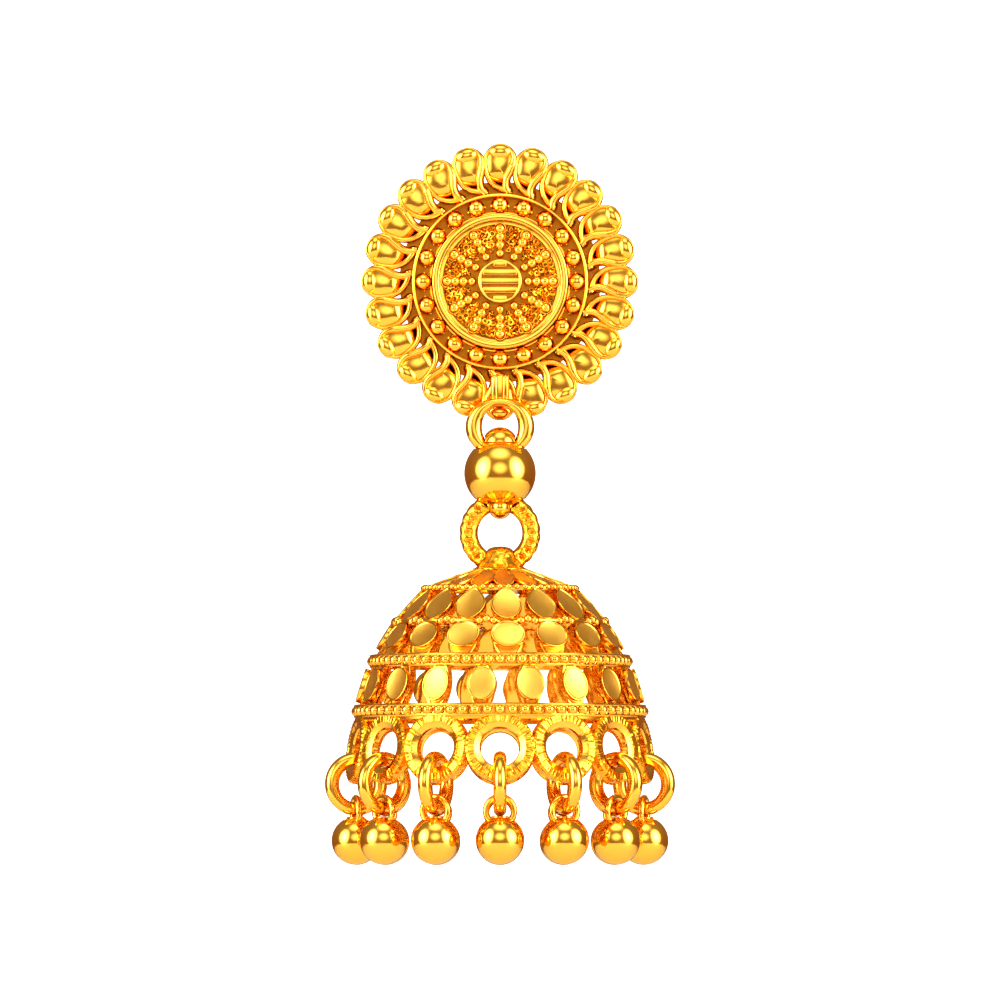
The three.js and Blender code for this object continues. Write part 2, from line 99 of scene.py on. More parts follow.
def ball(radius: float, centre: Sequence[float] = (0, 0, 0), sides: int = 24, rows: int = 12) -> Piece:
    """A round ball.

    Args:
        radius: the ball's radius.
        centre: its centre.
        sides: facets round its axis.
        rows: facets from pole to pole.

    Returns:
        The ball.
    """
    start()
    bpy.ops.mesh.primitive_uv_sphere_add(segments=sides, ring_count=rows, radius=radius, location=centre)
    return bpy.context.object


def wire_ring(radius: float, wire: float, centre: Sequence[float] = (0, 0, 0), sides: int = 96,
              round_sides: int = 10, turn: Sequence[float] = (0, 0, 0)) -> Piece:
    """A ring of round wire about Z.

    Args:
        radius: from the ring's centre to the middle of the wire.
        wire: radius of the wire.
        centre: the ring's centre.
        sides: facets round the ring.
        round_sides: facets round the wire.
        turn: rotation of the ring in radians about X, Y and Z.

    Returns:
        The ring.
    """
    start()
    bpy.ops.mesh.primitive_torus_add(major_radius=radius, minor_radius=wire, major_segments=sides,
                                     minor_segments=round_sides, location=centre, rotation=turn)
    return bpy.context.object


def block(size: Sequence[float], centre: Sequence[float], edge: float) -> Piece:
    """A block with rounded edges.

    Args:
        size: its three sides.
        centre: its centre.
        edge: width of the rounding.

    Returns:
        The block.
    """
    start()
    bpy.ops.mesh.primitive_cube_add(size=1, location=centre, scale=size)
    piece = bpy.context.object
    settle(piece)
    return modified(piece, "BEVEL", width=edge, segments=3)


def spun(profile: Profile, steps: int) -> Piece:
    """Spins a profile about Z.

    Args:
        profile: pairs of radius and height; the last pair repeats the first where the section is closed.
        steps: facets round the axis.

    Returns:
        The turned piece.
    """
    start()
    bpy.ops.mesh.primitive_plane_add(size=1)
    piece = bpy.context.object
    bpy.ops.object.mode_set(mode="EDIT")
    bpy.ops.mesh.merge(type="CENTER")
    bpy.ops.transform.translate(value=(profile[0][0], 0, profile[0][1]))
    for (radius, height), (next_radius, next_height) in zip(profile, profile[1:]):
        step = (next_radius - radius, 0, next_height - height)
        bpy.ops.mesh.extrude_region_move(TRANSFORM_OT_translate={"value": step})
    bpy.ops.mesh.select_all(action="SELECT")
    bpy.ops.mesh.spin(steps=steps, angle=TAU, center=(0, 0, 0), axis=(0, 0, 1))
    bpy.ops.object.mode_set(mode="OBJECT")
    return cleaned(piece)


def box_profile(inner: float, outer: float, foot: float, top: float) -> Profile:
    """The closed square section of a flat ring, for spun."""
    return [(inner, foot), (outer, foot), (outer, top), (inner, top), (inner, foot)]


def cleaned(piece: Piece) -> Piece:
    """Merges doubled points and turns every face outwards.

    Args:
        piece: a mesh piece.

    Returns:
        The same piece.
    """
    only(piece)
    bpy.ops.object.mode_set(mode="EDIT")
    bpy.ops.mesh.select_all(action="SELECT")
    bpy.ops.mesh.remove_doubles(threshold=1e-4)
    bpy.ops.mesh.normals_make_consistent(inside=False)
    bpy.ops.object.mode_set(mode="OBJECT")
    return piece


def settle(piece: Piece) -> Piece:
    """Moves the piece's place, turn and scale into its mesh.

    Args:
        piece: a mesh piece.

    Returns:
        The same piece.
    """
    only(piece)
    bpy.ops.object.transform_apply(location=True, rotation=True, scale=True)
    return piece


def modified(piece: Piece, kind: str, **settings: object) -> Piece:
    """Adds one modifier with its settings and applies it.

    Args:
        piece: a mesh piece.
        kind: the modifier's type.
        settings: its properties.

    Returns:
        The same piece.
    """
    only(piece)
    modifier = piece.modifiers.new(kind.title(), kind)
    for name, value in settings.items():
        setattr(modifier, name, value)
    bpy.ops.object.modifier_apply(modifier=modifier.name)
    return piece


def shaped(piece: Piece, place: Callable[[Vector], Vector]) -> Piece:
    """Moves each point of a piece to where a formula puts it, for swept and free forms.

    Args:
        piece: a mesh piece.
        place: gives the new place of a point.

    Returns:
        The same piece.
    """
    settle(piece)
    for vertex in piece.data.vertices:
        vertex.co = place(vertex.co.copy())
    return piece


def dressed(piece: Piece, material: bpy.types.Material) -> Piece:
    """Gives the whole piece one material.

    Args:
        piece: a mesh piece.
        material: its finish.

    Returns:
        The same piece.
    """
    piece.data.materials.clear()
    piece.data.materials.append(material)
    return piece


def copy_at(piece: Piece, place: Matrix) -> Piece:
    """A copy with its own mesh, moved by a matrix.

    Args:
        piece: the pattern.
        place: the matrix.

    Returns:
        The copy.
    """
    copy = piece.copy()
    copy.data = piece.data.copy()
    bpy.context.collection.objects.link(copy)
    copy.matrix_world = place @ piece.matrix_world
    return copy


def removed(piece: Piece) -> None:
    """Deletes a pattern piece once its copies are made."""
    bpy.data.objects.remove(piece)


def around(piece: Piece, count: int, first: float = 0.0, turn_sign: float = 1.0) -> list[Piece]:
    """Copies of a piece spread evenly about Z, in place of the piece itself.

    Args:
        piece: the pattern.
        count: how many copies.
        first: azimuth of the first one in degrees.
        turn_sign: 1 to go from the front towards +X, seen from above.

    Returns:
        The copies.
    """
    copies = []
    for i in range(count):
        angle = turn_sign * (math.radians(first) + TAU * i / count)
        copies.append(copy_at(piece, Matrix.Rotation(angle, 4, "Z")))
    removed(piece)
    return copies


def joined(pieces: Iterable[Piece]) -> Piece:
    """Joins pieces into one object that stands at the origin.

    Args:
        pieces: one or more mesh pieces.

    Returns:
        The joined piece.
    """
    pieces = list(pieces)
    start()
    for piece in pieces:
        piece.select_set(True)
    bpy.context.view_layer.objects.active = pieces[0]
    bpy.ops.object.transform_apply(location=True, rotation=True, scale=True)
    if len(pieces) > 1:
        bpy.ops.object.join()
    return bpy.context.object


def finished(piece: Piece, name: str, body: Body, slot: Slot, nodes: Iterable[str] = (),
             crease: float = 35.0) -> Piece:
    """Brings a piece to metres and ties it to the frame.

    Args:
        piece: modelled in millimetres in the row frame.
        name: its name in the table.
        body: what it rides on.
        slot: the record's slot that its main finish comes from; not used.
        nodes: CAD nodes that it stands for.
        crease: edges sharper than this, in degrees, stay sharp.

    Returns:
        The piece.
    """
    piece.name = piece.data.name = name
    piece.matrix_world = Matrix.Scale(MM, 4) @ piece.matrix_world
    settle(piece)
    bpy.ops.object.shade_smooth_by_angle(angle=math.radians(crease))
    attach(piece, body.value)
    if nodes:
        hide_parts(*nodes)
    LOG.info("%s: %d faces on %s", name, len(piece.data.polygons), body.value)
    return piece


def cut(piece: Piece, cutter: Piece) -> Piece:
    """Cuts one closed piece out of another and deletes the cutter.

    Args:
        piece: what is cut.
        cutter: what is taken away.

    Returns:
        The cut piece.
    """
    settle(cutter)
    modified(piece, "BOOLEAN", operation="DIFFERENCE", object=cutter, solver="EXACT")
    removed(cutter)
    return piece


def between(points: Sequence[Vector], share: float) -> Vector:
    """The point at a share of the way between the middle two of four points on a smooth line.

    Args:
        points: the four points.
        share: from 0 at the second point to 1 at the third.

    Returns:
        The point.
    """
    before, here, after, beyond = points
    bend = 2 * before - 5 * here + 4 * after - beyond
    twist = 3 * here - before - 3 * after + beyond
    return 0.5 * (2 * here + (after - before) * share + bend * share ** 2 + twist * share ** 3)


def closed_point(points: Profile, share: float) -> Vector:
    """The point at a share of the way round a smooth closed line.

    Args:
        points: the points that the line runs through.
        share: how far round, 1 for the whole way.

    Returns:
        The point.
    """
    count = len(points)
    place = (share % 1.0) * count
    first = int(place)
    return between([Vector(points[(first + k) % count]) for k in (-1, 0, 1, 2)], place - first)


def closed_normal(points: Profile, share: float, step: float = 0.004) -> Vector:
    """The outward direction of a closed line whose points run clockwise."""
    along = (closed_point(points, share + step) - closed_point(points, share - step)).normalized()
    return Vector((-along.y, along.x))


def face_forward(piece: Piece) -> Piece:
    """Turns a piece of the stud, which is modelled face up, to look along -Y.

    Args:
        piece: a mesh piece.

    Returns:
        The same piece.
    """
    piece.matrix_world = Matrix.Rotation(QUARTER, 4, "X") @ piece.matrix_world
    return piece


@dataclass(frozen=True)
class Room:
    """The box of a CAD node at rest, in millimetres."""

    low: Vector
    high: Vector

    @classmethod
    def of(cls, node: str) -> "Room":
        """Reads the box of a node from the frame."""
        low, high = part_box(node)
        return cls(low / MM, high / MM)

    @property
    def centre(self) -> Vector:
        """The middle of the box."""
        return (self.low + self.high) / 2


# Finishes


def linear(colour: str) -> tuple[float, float, float, float]:
    """Turns an sRGB hex colour into the linear colour that a shader takes."""
    channels = [int(colour[i:i + 2], 16) / 255 for i in (1, 3, 5)]
    return (*(c / 12.92 if c <= 0.04045 else ((c + 0.055) / 1.055) ** 2.4 for c in channels), 1.0)


def add_node(tree: bpy.types.NodeTree, kind: str, links: dict[str, bpy.types.NodeSocket] | None = None,
             values: dict[str, object] | None = None, **settings: object) -> bpy.types.Node:
    """Adds a node with its settings, values and incoming links.

    Args:
        tree: the material's node tree.
        kind: the node's type name.
        links: sockets of other nodes that go to its named inputs.
        values: fixed values of its named inputs.
        settings: its own properties.

    Returns:
        The node.
    """
    node = tree.nodes.new(kind)
    for name, value in settings.items():
        setattr(node, name, value)
    for name, value in (values or {}).items():
        node.inputs[name].default_value = value
    for name, socket in (links or {}).items():
        tree.links.new(socket, node.inputs[name])
    return node


@dataclass(frozen=True)
class GoldFinish:
    """One surface of the same yellow gold.

    The two colours are the metal and the slightly deeper tone of its worn or chased places.
    """

    name: str
    colour: str
    deep_colour: str
    roughness: float
    roughness_spread: float
    patch_mm: float
    grain_mm: float
    grain_height_mm: float
    dent_mm: float = 0.0
    dent_height_mm: float = 0.0

    def material(self) -> bpy.types.Material:
        """Builds the material from its noises.

        Returns:
            The material.
        """
        material = bpy.data.materials.new(self.name)
        material.use_nodes = True
        tree = material.node_tree
        shader = tree.nodes["Principled BSDF"]
        shader.inputs["Metallic"].default_value = 1.0
        place = add_node(tree, "ShaderNodeTexCoord").outputs["Object"]
        patches = add_node(tree, "ShaderNodeTexNoise", {"Vector": place},
                           {"Scale": 1 / (self.patch_mm * MM), "Detail": 3.0, "Roughness": 0.55})
        tone = add_node(tree, "ShaderNodeMix", {"Factor": patches.outputs["Fac"]}, data_type="RGBA")
        tone.inputs[6].default_value = linear(self.deep_colour)
        tone.inputs[7].default_value = linear(self.colour)
        tree.links.new(tone.outputs[2], shader.inputs["Base Color"])
        low = self.roughness - self.roughness_spread / 2
        gloss = add_node(tree, "ShaderNodeMapRange", {"Value": patches.outputs["Fac"]},
                         {"From Min": 0.3, "From Max": 0.7, "To Min": low,
                          "To Max": low + self.roughness_spread})
        tree.links.new(gloss.outputs["Result"], shader.inputs["Roughness"])
        grain = add_node(tree, "ShaderNodeTexNoise", {"Vector": place},
                         {"Scale": 1 / (self.grain_mm * MM), "Detail": 2.0, "Roughness": 0.6})
        bump = add_node(tree, "ShaderNodeBump", {"Height": grain.outputs["Fac"]},
                        {"Strength": 1.0, "Distance": self.grain_height_mm * MM})
        if self.dent_mm:
            dents = add_node(tree, "ShaderNodeTexVoronoi", {"Vector": place},
                             {"Scale": 1 / (self.dent_mm * MM), "Randomness": 1.0},
                             feature="SMOOTH_F1")
            bump = add_node(tree, "ShaderNodeBump",
                            {"Height": dents.outputs["Distance"], "Normal": bump.outputs["Normal"]},
                            {"Strength": 1.0, "Distance": self.dent_height_mm * MM})
        tree.links.new(bump.outputs["Normal"], shader.inputs["Normal"])
        return material


# Gold-plated cast brass, buffed to a mirror: crisp reflections with a faint haze where it was handled
POLISHED_GOLD = GoldFinish("mirror_polished_gold", "#FCC962", "#F7BE50", roughness=0.14,
                           roughness_spread=0.06, patch_mm=3.0, grain_mm=0.35, grain_height_mm=0.0012)
# The same plating over a blasted face: broad soft highlights and a fine sparkling grain
SATIN_GOLD = GoldFinish("sandblasted_gold", "#FCCD6A", "#F6C25A", roughness=0.34, roughness_spread=0.08,
                        patch_mm=1.6, grain_mm=0.16, grain_height_mm=0.010)
# Struck with a small round hammer: facets that each catch the light another way
HAMMERED_GOLD = GoldFinish("hammered_gold", "#FBC04A", "#F3B138", roughness=0.20, roughness_spread=0.08,
                           patch_mm=1.2, grain_mm=0.20, grain_height_mm=0.006, dent_mm=0.5,
                           dent_height_mm=0.09)
# Granules and curls of wire melted on to the field: bright tops over hollows whose darker brown is painted
# shade, from the recess finish below
GRANULATED_GOLD = GoldFinish("granulated_gold", "#FABE48", "#EEAD34", roughness=0.19, roughness_spread=0.08,
                             patch_mm=0.5, grain_mm=0.14, grain_height_mm=0.008)
# The ground between granules and slats, matt: a warm brown that is partly its own tone and partly painted
# shade, darkening the hollows behind the bright work
RECESS_PAINTED_SHADE_GOLD = GoldFinish("recess_painted_shade_gold", "#D6983A", "#A0681E", roughness=0.42, roughness_spread=0.1,
                           patch_mm=0.5, grain_mm=0.18, grain_height_mm=0.02)


@dataclass
class Golds:
    """The finishes as materials."""

    polished: bpy.types.Material = field(default_factory=POLISHED_GOLD.material)
    satin: bpy.types.Material = field(default_factory=SATIN_GOLD.material)
    hammered: bpy.types.Material = field(default_factory=HAMMERED_GOLD.material)
    granulated: bpy.types.Material = field(default_factory=GRANULATED_GOLD.material)
    # Painted shade: the darker brown finish laid in the hollows between the bright work
    recess_painted_shade: bpy.types.Material = field(default_factory=RECESS_PAINTED_SHADE_GOLD.material)


@dataclass
class PetalWreath:
    """The ring of comma-shaped petals round the stud's tray."""

    golds: Golds
    count: int = 24
    thin_wire: float = 0.07
    ridge_wire: float = 0.27
    hood: Sequence[float] = (1.0, 0.66, 0.64)
    hood_centre: Sequence[float] = (0.03, 10.44, 0.9)
    back: float = 0.3
    edge_height: float = 0.94
    face_rise: float = 0.12
    face_share: float = 0.97
    dome_height: float = 0.34
    dome_share: float = 0.92
    hollow: float = 0.55
    hollow_from: float = 8.75
    hollow_length: float = 1.3
    flank_width: float = 0.3
    flank_steepness: float = 1.6
    ridge_rise: float = 0.16
    ridge_flattening: float = 1.4
    tail_radius: float = 7.15
    ring_inner: float = 6.95
    ring_outer: float = 8.05
    ring_foot: float = 0.36
    ring_top: float = 0.6
    # One petal's outline, clockwise from its tip: across and out from the middle of the disc
    outline: Profile = (
        (0.05, 11.10), (0.80, 10.86), (1.30, 10.20), (1.34, 9.40), (1.08, 8.74), (0.82, 8.20),
        (0.78, 7.66), (1.00, 7.06), (0.24, 7.12), (-0.56, 7.52), (-1.12, 8.22), (-1.36, 9.12),
        (-1.31, 10.08), (-0.74, 10.84),
    )
    heart: tuple[float, float] = (-0.10, 9.3)

    def facet(self) -> Piece:
        """The domed facet on flanks that spread towards the back, from a ball mapped on the outline.

        Returns:
            The facet.
        """
        def place(point: Vector) -> Vector:
            """Lays the ball's upper half on the face and its lower half on the flanks.

            Args:
                point: a point of a ball of radius 1.

            Returns:
                Its place on the petal.
            """
            share = math.atan2(point.x, point.y) / TAU
            out = min(1.0, math.hypot(point.x, point.y))
            flat = Vector(self.heart).lerp(closed_point(self.outline, share), self.face_share * out)
            if point.z >= 0:
                sink = min(1.0, max(0.0, (self.hollow_from - flat.length) / self.hollow_length))
                dome = self.dome_height * max(0, 1 - (out / self.dome_share) ** 2)
                rise = dome - self.hollow * sink * sink * (3 - 2 * sink)
                return Vector((*flat, self.edge_height + self.face_rise + rise))
            depth = min(1.0, self.flank_steepness * abs(point.z))
            spread = self.flank_width * depth * out * abs(math.sin(math.pi * share))
            flat += closed_normal(self.outline, share) * spread
            if flat.length < self.tail_radius:
                flat *= self.tail_radius / flat.length
            return Vector((*flat, self.back + (self.edge_height - self.back) * (1 - depth)))
        return shaped(ball(1, sides=56, rows=22), place)

    def ridge(self) -> Piece:
        """The rounded rim wire: thin at the tip, fullest along the side that sweeps into the tail.

        Returns:
            The rim wire.
        """
        def place(point: Vector) -> Vector:
            """Lays the ring on the outline, with the wire's thickness from its place there.

            Args:
                point: a point of a ring of radius 1 and wire radius 0.5.

            Returns:
                Its place on the petal.
            """
            share = math.atan2(point.x, point.y) / TAU % 1.0
            out = (math.hypot(point.x, point.y) - 1) / UNIT_WIRE
            fullness = min(1.0, 1.5 * math.sin(math.pi * share)) * (1 + 0.35 * math.cos(TAU * (share - 0.3)))
            wire = self.thin_wire + (self.ridge_wire - self.thin_wire) * fullness
            flat = closed_point(self.outline, share) + closed_normal(self.outline, share) * (out - 1) * wire
            height = self.edge_height + self.ridge_rise + self.ridge_flattening * point.z / UNIT_WIRE * wire
            return Vector((flat.x, flat.y, height))
        return shaped(wire_ring(1, UNIT_WIRE, sides=80, round_sides=12), place)

    def tip_hood(self) -> Piece:
        """The rounded hood over the tip."""
        return shaped(ball(1, sides=36, rows=20), lambda point: Vector(
            [centre + reach * value for centre, reach, value in zip(self.hood_centre, self.hood, point)]))

    def build(self) -> None:
        """Models one petal, copies it round, and adds the hidden ring that the tails are soldered to."""
        petal = dressed(joined([self.facet(), self.ridge(), self.tip_hood()]), self.golds.polished)
        petals = around(petal, self.count, turn_sign=-1)
        # The hidden ring under the tails takes the recess finish: painted shade, dark brown in the gaps
        # between the petals
        ring = spun(box_profile(self.ring_inner, self.ring_outer, self.ring_foot, self.ring_top), 96)
        wreath = face_forward(joined([*petals, dressed(ring, self.golds.recess_painted_shade)]))
        finished(wreath, "petal_wreath_gold", Body.STUD, Slot.POLISHED, ["petal_wreath"], crease=50)


@dataclass
class BeadTray:
    """The shallow tray with its rim wire, leaf points and ball beads."""

    golds: Golds
    bead_count: int = 20
    bead_radius: float = 0.72
    bead_circle: float = 6.17
    bead_height: float = 1.12
    floor: float = 0.8
    wall: float = 0.2
    edge: float = 0.08
    rim_wire: float = 0.12
    inner_wire_circle: float = 5.56
    ground_inner: float = 5.45
    ground_height: float = 0.03
    seat_radius: float = 1.8
    seat_depth: float = 0.5
    leaf_count: int = 40
    leaf_radius: float = 0.34
    leaf_length: float = 0.85
    leaf_flatness: float = 0.45
    leaf_lean: float = -1.9
    leaf_inset: float = 0.62

    def build(self) -> None:
        """Turns the tray and sets its beads, rim wire and leaf points."""
        room = Room.of("bead_tray")
        radius, inside = room.high.x, room.high.x - self.wall
        rim_level = -room.low.y - self.rim_wire
        tray = spun([(0, self.seat_depth), (self.seat_radius, self.seat_depth), (self.seat_radius, 0),
                     (radius - self.edge, 0), (radius, self.edge), (radius, rim_level), (inside, rim_level),
                     (inside, self.floor), (0, self.floor)], 96)
        rim = wire_ring(radius - self.rim_wire, self.rim_wire, (0, 0, rim_level), 120)
        inner_wire = wire_ring(self.inner_wire_circle, self.rim_wire, (0, 0, self.floor + 0.1), 96)
        bead = dressed(ball(self.bead_radius, (0, self.bead_circle, self.bead_height), 32, 18),
                       self.golds.polished)
        # The ground inside the rim takes the recess finish: painted shade, dark brown round the beads
        ground = spun(box_profile(self.ground_inner, inside, self.floor, self.floor + self.ground_height), 96)
        parts = [dressed(piece, self.golds.polished) for piece in (tray, rim, inner_wire)]
        parts.append(dressed(ground, self.golds.recess_painted_shade))
        parts += around(bead, self.bead_count)
        parts += self.leaf_points(radius)
        finished(face_forward(joined(parts)), "bead_tray_gold", Body.STUD, Slot.POLISHED, ["bead_tray"])

    def leaf_points(self, radius: float) -> list[Piece]:
        """Small pointed leaves that stand between the beads and the rim.

        Args:
            radius: the tray's radius.

        Returns:
            The leaves.
        """
        start()
        bpy.ops.mesh.primitive_cone_add(
            vertices=4, radius1=self.leaf_radius, radius2=0, depth=self.leaf_length,
            location=(0, radius - self.leaf_inset, self.floor + 0.42), rotation=(self.leaf_lean, 0, 0))
        leaf = bpy.context.object
        leaf.scale.y = self.leaf_flatness
        modified(settle(leaf), "BEVEL", width=0.03, segments=2)
        dressed(leaf, self.golds.granulated)
        return around(leaf, self.leaf_count, first=180 / self.leaf_count)


@dataclass
class CentreDisc:
    """The bezel and the sunken medallion with its granules, curls and slatted button."""

    golds: Golds
    ray_count: int = 12
    granule_rows: Profile = ((2.24, 0.35), (2.93, 0.39), (3.60, 0.41), (4.24, 0.43))
    curl_rows: Profile = ((2.60, 0.15), (3.00, 0.17), (3.42, 0.19), (3.86, 0.2), (4.30, 0.2))
    curls_per_field: Sequence[int] = (1, 2, 3, 3, 4)
    curl_wire: float = 0.09
    curl_pitch: float = 0.19
    curl_tilt: float = 0.9
    cup_wire: float = 0.07
    bezel_half_width: float = 0.29
    bezel_round: float = 0.2
    floor: float = 1.5
    button_radius: float = 1.74
    button_top: float = 2.2
    button_wire: float = 0.11
    button_ground: float = 0.3
    slat_count: int = 5
    slat_pitch: float = 0.7
    slat_height: float = 0.5

    def build(self) -> None:
        """Builds the bezel ring and the medallion."""
        room = Room.of("bezel_ring")
        outer, seat, top = room.high.x + 0.04, -room.high.y, -room.low.y
        half, soft = self.bezel_half_width, self.bezel_round
        inner = outer - 2 * half
        crown = [(inner + half - half * math.cos(a), top - soft + soft * abs(math.sin(a)) ** 0.6)
                 for a in (math.pi * k / 10 for k in range(11))]
        bezel = dressed(spun([(inner, seat), *crown, (outer, seat), (inner, seat)], 128), self.golds.polished)
        finished(face_forward(bezel), "bezel_ring_gold", Body.STUD, Slot.POLISHED, ["bezel_ring"])
        medallion = joined([*self.field(), *self.granules(), *self.curls(), *self.button()])
        finished(face_forward(medallion), "medallion_gold", Body.STUD, Slot.GRANULATED, ["centre_disc"])

    def field(self) -> list[Piece]:
        """The medallion's plate.

        Returns:
            The plate, in a list.
        """
        room = Room.of("centre_disc")
        radius, seat = room.high.x - 0.1, -room.high.y
        plate = spun([(0, seat), (radius, seat), (radius, self.floor), (0, self.floor)], 96)
        # The plate takes the recess finish: painted shade, dark brown between the granules and curls
        return [dressed(plate, self.golds.recess_painted_shade)]

    def granules(self) -> list[Piece]:
        """Rows of granules along the rays.

        Returns:
            The granules and the cups that the outer ones stand in.
        """
        made = []
        for radius, size in self.granule_rows:
            granule = ball(size, (0, radius, self.floor + 0.7 * size), 20, 12)
            made += around(dressed(granule, self.golds.polished), self.ray_count)
        radius, size = self.granule_rows[-1]
        cup = wire_ring(size + 0.02, self.cup_wire, (0, radius, self.floor + 2 * self.cup_wire), 24, 6)
        return made + around(dressed(cup, self.golds.polished), self.ray_count)

    def curls(self) -> list[Piece]:
        """Small curls of wire that fill the fields between the rays.

        Returns:
            The curls.
        """
        chance = random.Random(12)
        made = []
        for (radius, size), per_field in zip(self.curl_rows, self.curls_per_field):
            pattern = dressed(wire_ring(size, self.curl_wire, sides=14, round_sides=6), self.golds.granulated)
            for i in range(self.ray_count * per_field):
                sector, place = divmod(i, per_field)
                share = sector + 0.5 + (place - (per_field - 1) / 2) * self.curl_pitch
                angle = TAU * share / self.ray_count
                tilt = (Matrix.Rotation(chance.uniform(-self.curl_tilt, self.curl_tilt), 4, "X")
                        @ Matrix.Rotation(chance.uniform(-self.curl_tilt, self.curl_tilt), 4, "Y"))
                height = self.floor + chance.uniform(0.1, 0.26)
                spot = Matrix.Translation((radius * math.sin(angle), radius * math.cos(angle), height))
                made.append(copy_at(pattern, spot @ tilt))
            removed(pattern)
        return made

    def button(self) -> list[Piece]:
        """The round button in the middle: a rim wire and level slats with dark grooves between them.

        Returns:
            The button's pieces.
        """
        ground = self.button_top - self.button_ground
        base = spun([(0, self.floor - 0.2), (self.button_radius, self.floor - 0.2),
                     (self.button_radius, ground), (0, ground)], 64)
        rim = wire_ring(self.button_radius - self.button_wire, self.button_wire,
                        (0, 0, self.button_top - 0.08), 72)
        # The button's base takes the recess finish: painted shade, dark brown in the grooves between the
        # slats
        made = [dressed(base, self.golds.recess_painted_shade), dressed(rim, self.golds.polished)]
        inside = self.button_radius - 0.2
        for i in range(self.slat_count):
            offset = (i - (self.slat_count - 1) / 2) * self.slat_pitch
            edge = min(abs(offset) + 0.1 * self.slat_height, 0.97 * inside)
            size = (2 * math.sqrt(inside ** 2 - edge ** 2), self.slat_height, self.slat_height)
            slat = block(size, (0, offset, self.button_top - 0.27), 0.07)
            made.append(dressed(slat, self.golds.polished))
        return made


@dataclass
class EarPost:
    """The plain post on its flat collar."""

    golds: Golds
    radius: float = 0.42
    collar_radius: float = 1.7
    collar: float = 0.4
    collar_edge: float = 0.06
    fillet: float = 0.25
    groove_from_tip: float = 2.2
    groove_half_width: float = 0.3
    groove_depth: float = 0.1
    # The rounded tip: radius, and height above the post's end
    tip: Profile = ((0, 0), (0.2, 0.04), (0.36, 0.22), (0.42, 0.5))

    def build(self) -> None:
        """Turns the post with its rounded tip and the groove that an ear nut clicks into."""
        end = -Room.of("ear_post").high.y
        groove = end + self.groove_from_tip
        post = spun([
            *((radius, end + rise) for radius, rise in self.tip),
            (self.radius, groove - self.groove_half_width), (self.radius - self.groove_depth, groove),
            (self.radius, groove + self.groove_half_width), (self.radius, -self.fillet),
            (self.radius + self.fillet, 0), (self.collar_radius - self.collar_edge, 0),
            (self.collar_radius, self.collar_edge), (self.collar_radius, self.collar), (0, self.collar),
        ], 40)
        dressed(post, self.golds.polished)
        finished(face_forward(post), "ear_post_gold", Body.STUD, Slot.POLISHED, ["ear_post"])


@dataclass
class HangerRing:
    """The oval ring below the stud with its ribbed strap."""

    golds: Golds
    half_height: float = 2.36
    hole_half_width: float = 1.45
    hole_half_height: float = 1.68
    bar_radius: float = 0.3
    bar_spread: float = 0.44
    half_depth: float = 0.575
    strap_plate_width: float = 1.4
    strap_plate: float = 0.3

    def ring(self, grow: float = 0.0) -> Piece:
        """The ring, in its own place, with its wire fuller at the sides.

        Args:
            grow: added to the wire's radius, where the ring is a cutter.

        Returns:
            The ring.
        """
        room = Room.of("hanger_ring")
        half_width = room.high.x
        middle = Vector((0, room.low.y + self.half_depth, room.low.z + self.half_height))
        across, side_wire = (half_width + self.hole_half_width) / 2, (half_width - self.hole_half_width) / 2
        upwards = (self.half_height + self.hole_half_height) / 2
        end_wire = (self.half_height - self.hole_half_height) / 2

        def place(point: Vector) -> Vector:
            """Lays a round ring on the oval.

            Args:
                point: a point of a ring of radius 1 and wire radius 0.5.

            Returns:
                Its place on the oval ring.
            """
            angle = math.atan2(point.y, point.x)
            out = (math.hypot(point.x, point.y) - 1) / UNIT_WIRE
            wire = side_wire * math.cos(angle) ** 2 + end_wire * math.sin(angle) ** 2 + grow
            normal = Vector((math.cos(angle) / across, math.sin(angle) / upwards)).normalized() * out * wire
            return middle + Vector((across * math.cos(angle) + normal.x,
                                    -point.z / UNIT_WIRE * (self.half_depth + grow),
                                    upwards * math.sin(angle) + normal.y))
        sides, round_sides = (48, 14) if grow else (96, 24)
        return shaped(wire_ring(1, UNIT_WIRE, sides=sides, round_sides=round_sides), place)

    def strap(self) -> list[Piece]:
        """Two rounded bars side by side on a thin plate.

        Returns:
            The strap's pieces.
        """
        room = Room.of("hanger_ring")
        top, back = room.high.z, room.high.y
        foot = room.low.z + 2 * self.half_height - 0.3
        length = top - foot
        half = length / 2 - self.bar_radius
        bars = []
        for side in (-1, 1):
            bar = ball(self.bar_radius, sides=20, rows=12)
            shaped(bar, lambda point: point + Vector((0, 0, math.copysign(half, point.z))))
            bar.location = (side * self.bar_spread, back - self.bar_radius - 0.12, (top + foot) / 2)
            bars.append(bar)
        plate = block((self.strap_plate_width, self.strap_plate, length - 0.1),
                      (0, back - self.strap_plate / 2, (top + foot) / 2), 0.05)
        return [*bars, plate]

    def build(self) -> None:
        """Joins the ring and its strap."""
        parts = [dressed(piece, self.golds.polished) for piece in (self.ring(), *self.strap())]
        finished(joined(parts), "hanger_ring_gold", Body.STUD, Slot.POLISHED, ["hanger_ring"])


